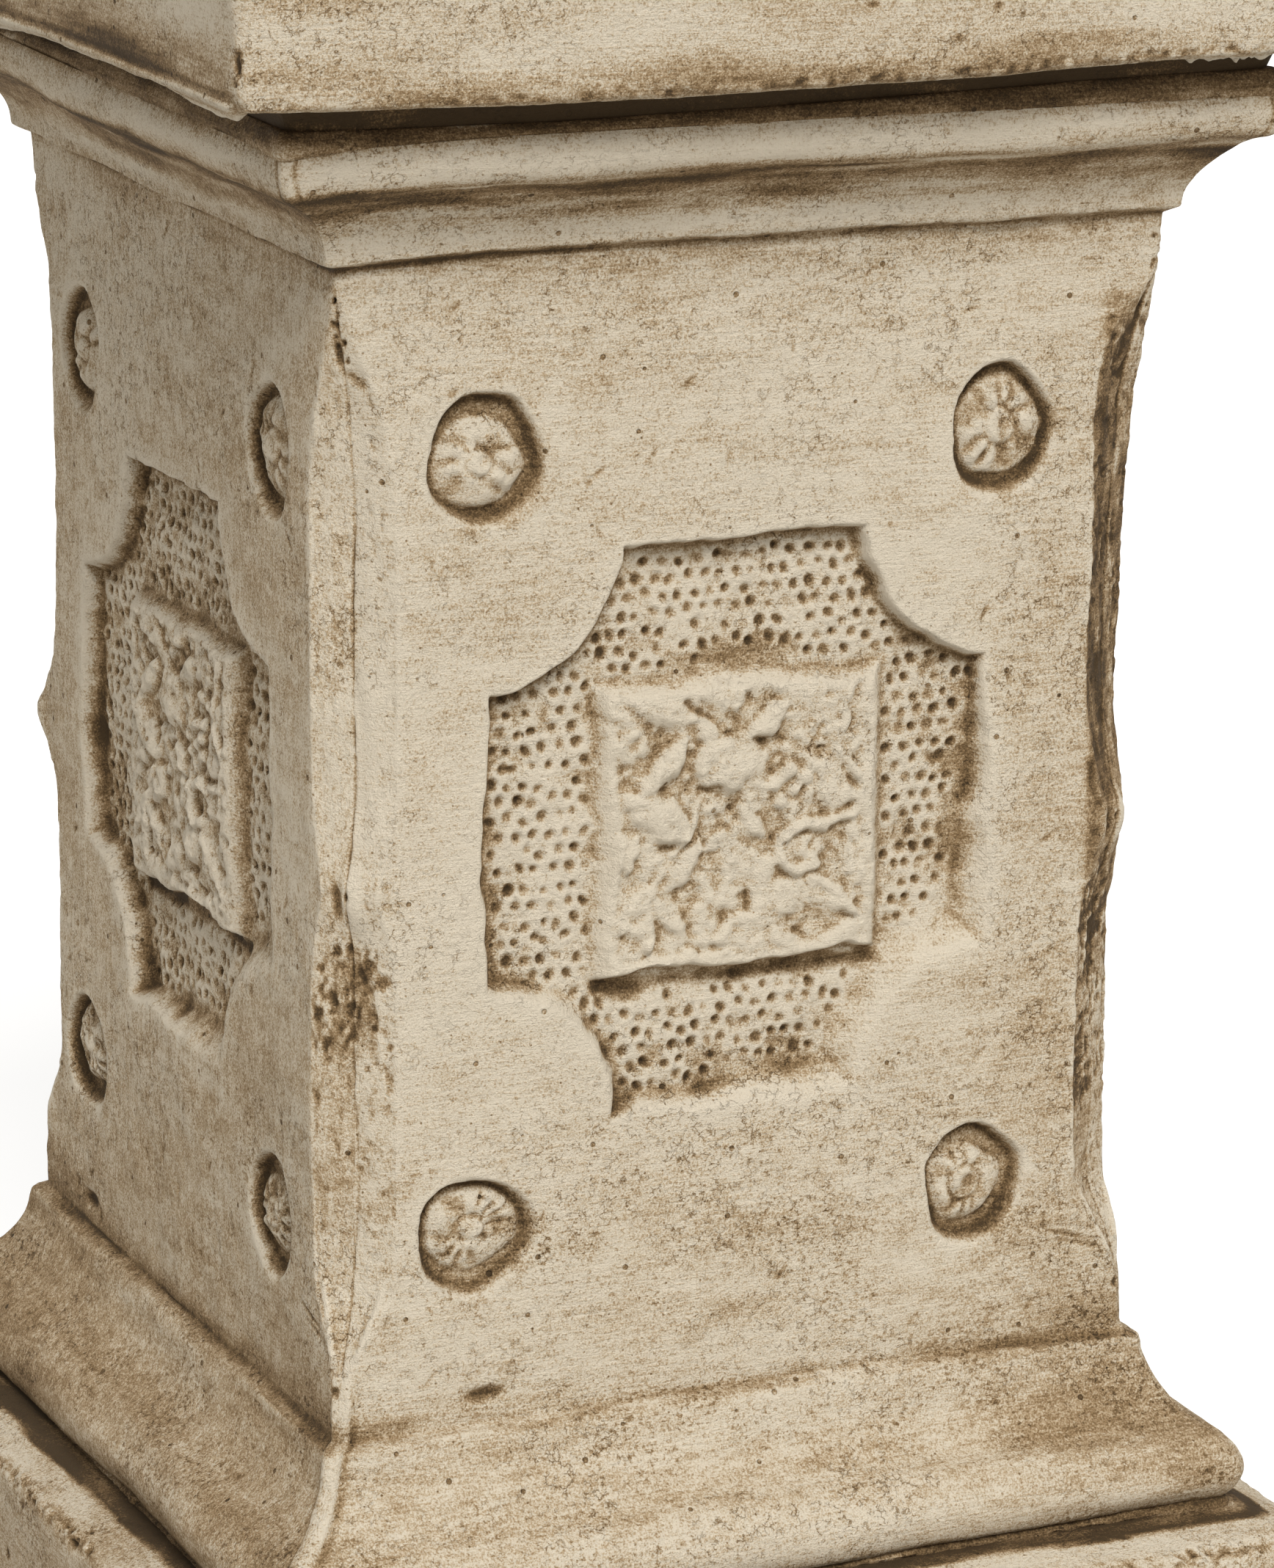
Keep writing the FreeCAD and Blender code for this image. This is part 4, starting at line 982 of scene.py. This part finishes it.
def make_basin():
    """Block with leaning faces, a crumbled lower arris, a lip under its left side, and the carved bowl."""
    basin = Course([(44, 629, 1, 0), (187, 629, 0, 6), (190, 638, 0, 4), (209.5, 638, 0, 9),
                    (212.4, 639.4, 0, 2), (213.4, 643, 0, 2), (219.6, 770, 0, 55), (225.3, 894, 0, 36),
                    (224.2, 898.5, 0, 2), (221.0, 900, 0, 2), (186, 900, 1, 9), (186, 898.4, 1, 1)]
                   + bowl_steps()
                   + [(23, 768.9, 1, 2), (23, 700, 1, 4), (44, 700, 1, 2), (44, 629, 1, 4)], 213.0, 0.8, 51)
    m, v, rng = weather(basin, 2, 10, 8)
    stub_top, soffit_edge, arris, face_foot = (basin.v_of(step) for step in (2, 3, 4, 5))
    # painted shade: the groove under the basin and its soffit are darkened as in the overhang's shadow, over
    # a brown stain
    m.wash_and_shade += 0.90 * ease((stub_top + 3 - v) / 5) * (0.85 + 0.25 * m.grain(2.0, 9.0))
    m.wash_and_shade += 0.32 * ease((soffit_edge - v) / 12)
    m.wash_and_shade += 0.16 * bump((v - face_foot - 5) / 16) * np.clip(0.6 + m.grain(4.0, 30.0), 0, 2)
    left_side = (ease((m.u - 3 * basin.side) / 14) * ease((4 * basin.side - 5 - m.u) / 10))[None, :]
    crumble(m, v, arris + 0.5, 5.0, 0.5, 0.32, 1 - 0.9 * left_side)
    lip = left_side * ease((v - stub_top - 6) / 10) * ease((arris + 2.2 - v) / 1.6)
    rough = 0.85 + 0.2 * m.grain(4.0, 18.0) + 0.03 * m.grain(2.0, 4.0)
    m.height += lip * (1.9 + 2.2 * ease((soffit_edge - v) / 3)) * rough
    m.wash_and_shade -= lip * 0.12
    # painted shade on the left side: a dark crease over the lip and a painted shadow band above it
    stain = 0.22 * bump((v - arris - 8) / 8) * (0.8 + 0.4 * m.grain(2.0, 8.0))
    m.wash_and_shade += left_side * (0.42 * bump((v - arris - 3.4) / 1.5) + stain + 0.05)
    for _ in range(22):                                                   # mortar crumbs left under the arris
        m.dent(soffit_edge - rng.uniform(0, 9), basin.side - rng.uniform(34, 66), rng.uniform(2, 4),
               rng.uniform(1.6, 2.8), rng.uniform(-1, 1), -rng.uniform(0.8, 2.4), -0.35)
    for corner in range(4):
        for _ in range(48):
            m.dent(face_foot + rng.uniform(-2, 250), corner * basin.side + rng.normal(-3, 2),
                   rng.uniform(2, 5), rng.uniform(2, 5), rng.uniform(-0.4, 0.4), rng.uniform(0.4, 1.2), 0.4)
    for _ in range(60):
        m.dent(face_foot + rng.uniform(4, 250), rng.uniform(0, 4 * basin.side), rng.uniform(2, 5),
               rng.uniform(2, 3.2), rng.uniform(-1, 1), rng.uniform(0.4, 0.9), 0.4)
    stain_hollows(m)
    return basin.piece("basin_block_cast", 142, 3.2, 1.2, 0.06, basin_rise)


def make_plinth():
    """Base slab with a dirty margin round the shaft's foot, a crumbled upper arris and chipped corners."""
    plinth = Course([(30, 0, 1, 0), (215, 0, 0, 5), (217.2, 1.2, 0, 1), (218, 4, 0, 1), (218, 79.5, 0, 26),
                     (216.8, 83, 0, 2), (213.8, 84.9, 0, 2), (197, 89.6, 0, 9), (190, 90, 0, 2),
                     (30, 90, 1, 5), (30, 0, 1, 4)], 218.0, 0.8, 91)
    m, v, rng = weather(plinth, 2, 8, 9)
    foot, face_foot, arris, margin = (plinth.v_of(step) for step in (2, 3, 5, 7))
    crumble(m, v, arris, 6.0, 1.0, 0.22)
    joint = ease((v - margin + 5 + 1.2 * m.grain(3.0, 20.0)) / 1.5)
    m.wash_and_shade += 0.92 * joint * (0.9 + 0.25 * m.grain(1.6, 12.0))
    m.wash_and_shade += 0.30 * ease((foot + 14 - v) / 20) + 0.10 * np.clip(m.grain(12.0, 22.0), 0, 2)
    for corner in range(4):
        for _ in range(9):
            m.dent(face_foot + rng.uniform(4, 76), corner * plinth.side + rng.uniform(-4, 4),
                   rng.uniform(4, 9), rng.uniform(5, 14), rng.uniform(-0.4, 0.4), rng.uniform(0.8, 2.0), 0.5)
    for _ in range(70):
        m.dent(face_foot + rng.uniform(2, 98), rng.uniform(0, 4 * plinth.side), rng.uniform(2, 6),
               rng.uniform(2, 3.4), rng.uniform(-1, 1), rng.uniform(0.5, 1.2), 0.6)
    stain_hollows(m)
    return plinth.piece("plinth_block_cast", 145, 4.5, 2.0, 0.06)


def mortar_ring(name, outer, low, high, squeeze, seed, rise=None):
    """Bed of mortar with its face left as it was squeezed out and struck off."""
    tall = high - low
    ring = Course([(CAVITY_HALF, low, 0, 0), (outer - 3, low, 0, 3), (outer, low - 0.2, 0, 1),
                   (outer + 0.5, low + 0.3 * tall, 0, 1), (outer - 0.8, low + 0.7 * tall, 0, 1),
                   (outer - 2.2, high, 0, 1), (CAVITY_HALF, high, 0, 3), (CAVITY_HALF, low, 0, 1)],
                  outer, 0.8, seed)
    m = ring.map
    v = m.v[:, None]
    face = ease((v - ring.v_of(1)) / 0.8) * ease((ring.v_of(5) - v) / 0.8)
    blobs = np.clip(0.5 * m.grain(2.0, 6.0) + 0.6 * m.grain(4.0, 26.0), 0, 2.0)
    m.height += face * squeeze * (blobs + 0.3 * m.grain(1.4))
    smears = np.clip(m.grain(1.6, 10.0) - 0.9, 0, 1)
    to_corner = ((m.u + outer) % ring.side - outer)[None, :]
    m.height += 1.5 * face * bump(to_corner / 34)
    # darker towards the top of the bed's face: painted shade under the stone that overhangs it, over the
    # mortar's own tone, with lighter smears
    m.wash_and_shade += 0.50 + 0.22 * ease((v - ring.v_of(2)) / tall) - 0.35 * smears + 0.1 * m.grain(1.2, 8.0)
    return ring.piece(name, 110, 2.0, 0.8, 0.35, rise)


dress(make_basin(), stone("stone_basin", lift=-0.03), "basin_block")
dress(make_plinth(), stone_front, "plinth_block")
mortar_stone = stone("mortar_struck", lift=0.06)
upper_bed = mortar_ring("upper_mortar_squeezed", 189.8, PANEL_TOP, BASIN_FOOT, 0.5, 131, bed_rise)
dress(upper_bed, mortar_stone, "upper_mortar_bed")
lower_bed = mortar_ring("lower_mortar_squeezed", 190.0, PLINTH_TOP, PANEL_FOOT, 1.0, 141)
dress(lower_bed, mortar_stone, "lower_mortar_bed")

# ---------------------------------------------------------------- finishes of the parts shown as designed
FINISHES = (
    (metal("spun_brass_bowl", colour(0.66, 0.47, 0.20), colour(0.34, 0.23, 0.11), 14.0, 0.24),
     ("bowl_liner",)),
    (metal("brass_waste", colour(0.62, 0.42, 0.16), colour(0.27, 0.18, 0.09), 40.0, 0.26),
     ("waste_body", "back_nut", "backing_washer", "coupling_nut", "drain_plug", "pull_ring")),
    (metal("copper_tube", colour(0.60, 0.26, 0.13), colour(0.20, 0.10, 0.06), 30.0, 0.32), ("drain_pipe",)),
    (plain("lead_pads", colour(0.16, 0.165, 0.175), colour(0.085, 0.088, 0.095), 50.0, 0.6, 0.0003, 0.6),
     ("lower_lead_shims", "upper_lead_shims")),
    (plain("rusted_iron", colour(0.20, 0.09, 0.045), colour(0.055, 0.035, 0.028), 90.0, 0.8, 0.0007, 0.35),
     ("lower_dowels", "upper_dowels", "lower_corner_cramps", "upper_corner_cramps")),
    (plain("black_rubber", colour(0.035, 0.034, 0.033), colour(0.018, 0.018, 0.018), 60.0, 0.65, 0.0001),
     ("waste_gasket", "plug_seal")),
    (plain("fired_clay", colour(0.42, 0.17, 0.085), colour(0.28, 0.11, 0.055), 45.0, 0.85), ("pipe_sleeve",)),
    (plain("hair_plaster", colour(0.62, 0.57, 0.48), colour(0.46, 0.41, 0.33), 35.0, 0.9, 0.0012),
     ("corner_fillets",)),
)
for finish, nodes in FINISHES:
    for node in nodes:
        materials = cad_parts[node].data.materials
        materials.clear()
        materials.append(finish)


# ---------------------------------------------------------------- stage, camera and light
def floor_material():
    """Pale floor that glows, a little more towards the camera than towards the object."""
    g = Shade("studio_floor")
    tone = g.ramp(g.noise(0.7, 3, 0.5), (0.3, colour(0.34, 0.34, 0.338)), (0.7, colour(0.37, 0.37, 0.368)))
    finish = g.surface(tone, 0.9, g.noise(40, 2, 0.5), 0.0001, specular=0.1)
    shader = next(node for node in g.tree.nodes if node.type == "BSDF_PRINCIPLED")
    seen = g.node("LightPath", 0)
    glow = g.mix(seen, colour(1.0, 0.92, 0.80), colour(1.0, 1.0, 1.0))
    g.tree.links.new(glow, shader.inputs["Emission Color"])
    g.tree.links.new(g.times(seen, 0.36, 0.36), shader.inputs["Emission Strength"])
    return finish


bpy.ops.mesh.primitive_plane_add(size=120.0, location=(0, 0, 0))
floor = bpy.context.object
floor.name = "studio_floor"
floor.data.materials.append(floor_material())

# metres, degrees and millimetres
CAMERA_PLACE = (-0.8511, -1.9078, 0.88085)
CAMERA_AZIMUTH, CAMERA_ELEVATION, CAMERA_ROLL = -24.747, 14.389, 0.654
CAMERA_LENS, CAMERA_SENSOR = 129.1, 36.0


def make_camera():
    azimuth, elevation, roll = (math.radians(a) for a in (CAMERA_AZIMUTH, CAMERA_ELEVATION, CAMERA_ROLL))
    level = math.cos(elevation)
    back = np.array([math.sin(azimuth) * level, -math.cos(azimuth) * level, math.sin(elevation)])
    right = np.array([math.cos(azimuth), math.sin(azimuth), 0.0])
    above = np.cross(back, right)
    lens_right = math.cos(roll) * right + math.sin(roll) * above
    lens_up = -math.sin(roll) * right + math.cos(roll) * above
    camera = bpy.data.objects.new("camera", bpy.data.cameras.new("camera"))
    bpy.context.scene.collection.objects.link(camera)
    camera.data.lens, camera.data.sensor_width = CAMERA_LENS, CAMERA_SENSOR
    camera.data.clip_end = 200.0
    pose = Matrix.Identity(4)
    for row in range(3):
        pose[row] = lens_right[row], lens_up[row], back[row], CAMERA_PLACE[row]
    camera.matrix_world = pose
    return camera


def sunlight(name, azimuth, elevation, strength, softness, tint):
    """Distant soft light from a compass direction: azimuth 0 is in front of the font and 90 at its right."""
    lamp = bpy.data.lights.new(name, "SUN")
    lamp.energy, lamp.angle, lamp.color = strength, math.radians(softness), tint
    light = bpy.data.objects.new(name, lamp)
    light.rotation_euler = (math.radians(90 - elevation), 0, math.radians(azimuth))
    bpy.context.scene.collection.objects.link(light)


bpy.context.scene.camera = make_camera()
sunlight("key_window", -10, 46, 3.65, 26, (1.0, 0.985, 0.96))
world = bpy.data.worlds.new("studio")
bpy.context.scene.world = world
world.use_nodes = True
sky = world.node_tree.nodes["Background"]
sky.inputs["Color"].default_value = (1.0, 0.965, 0.90, 1.0)
sky.inputs["Strength"].default_value = 0.58
bpy.context.scene.view_settings.view_transform = "Standard"
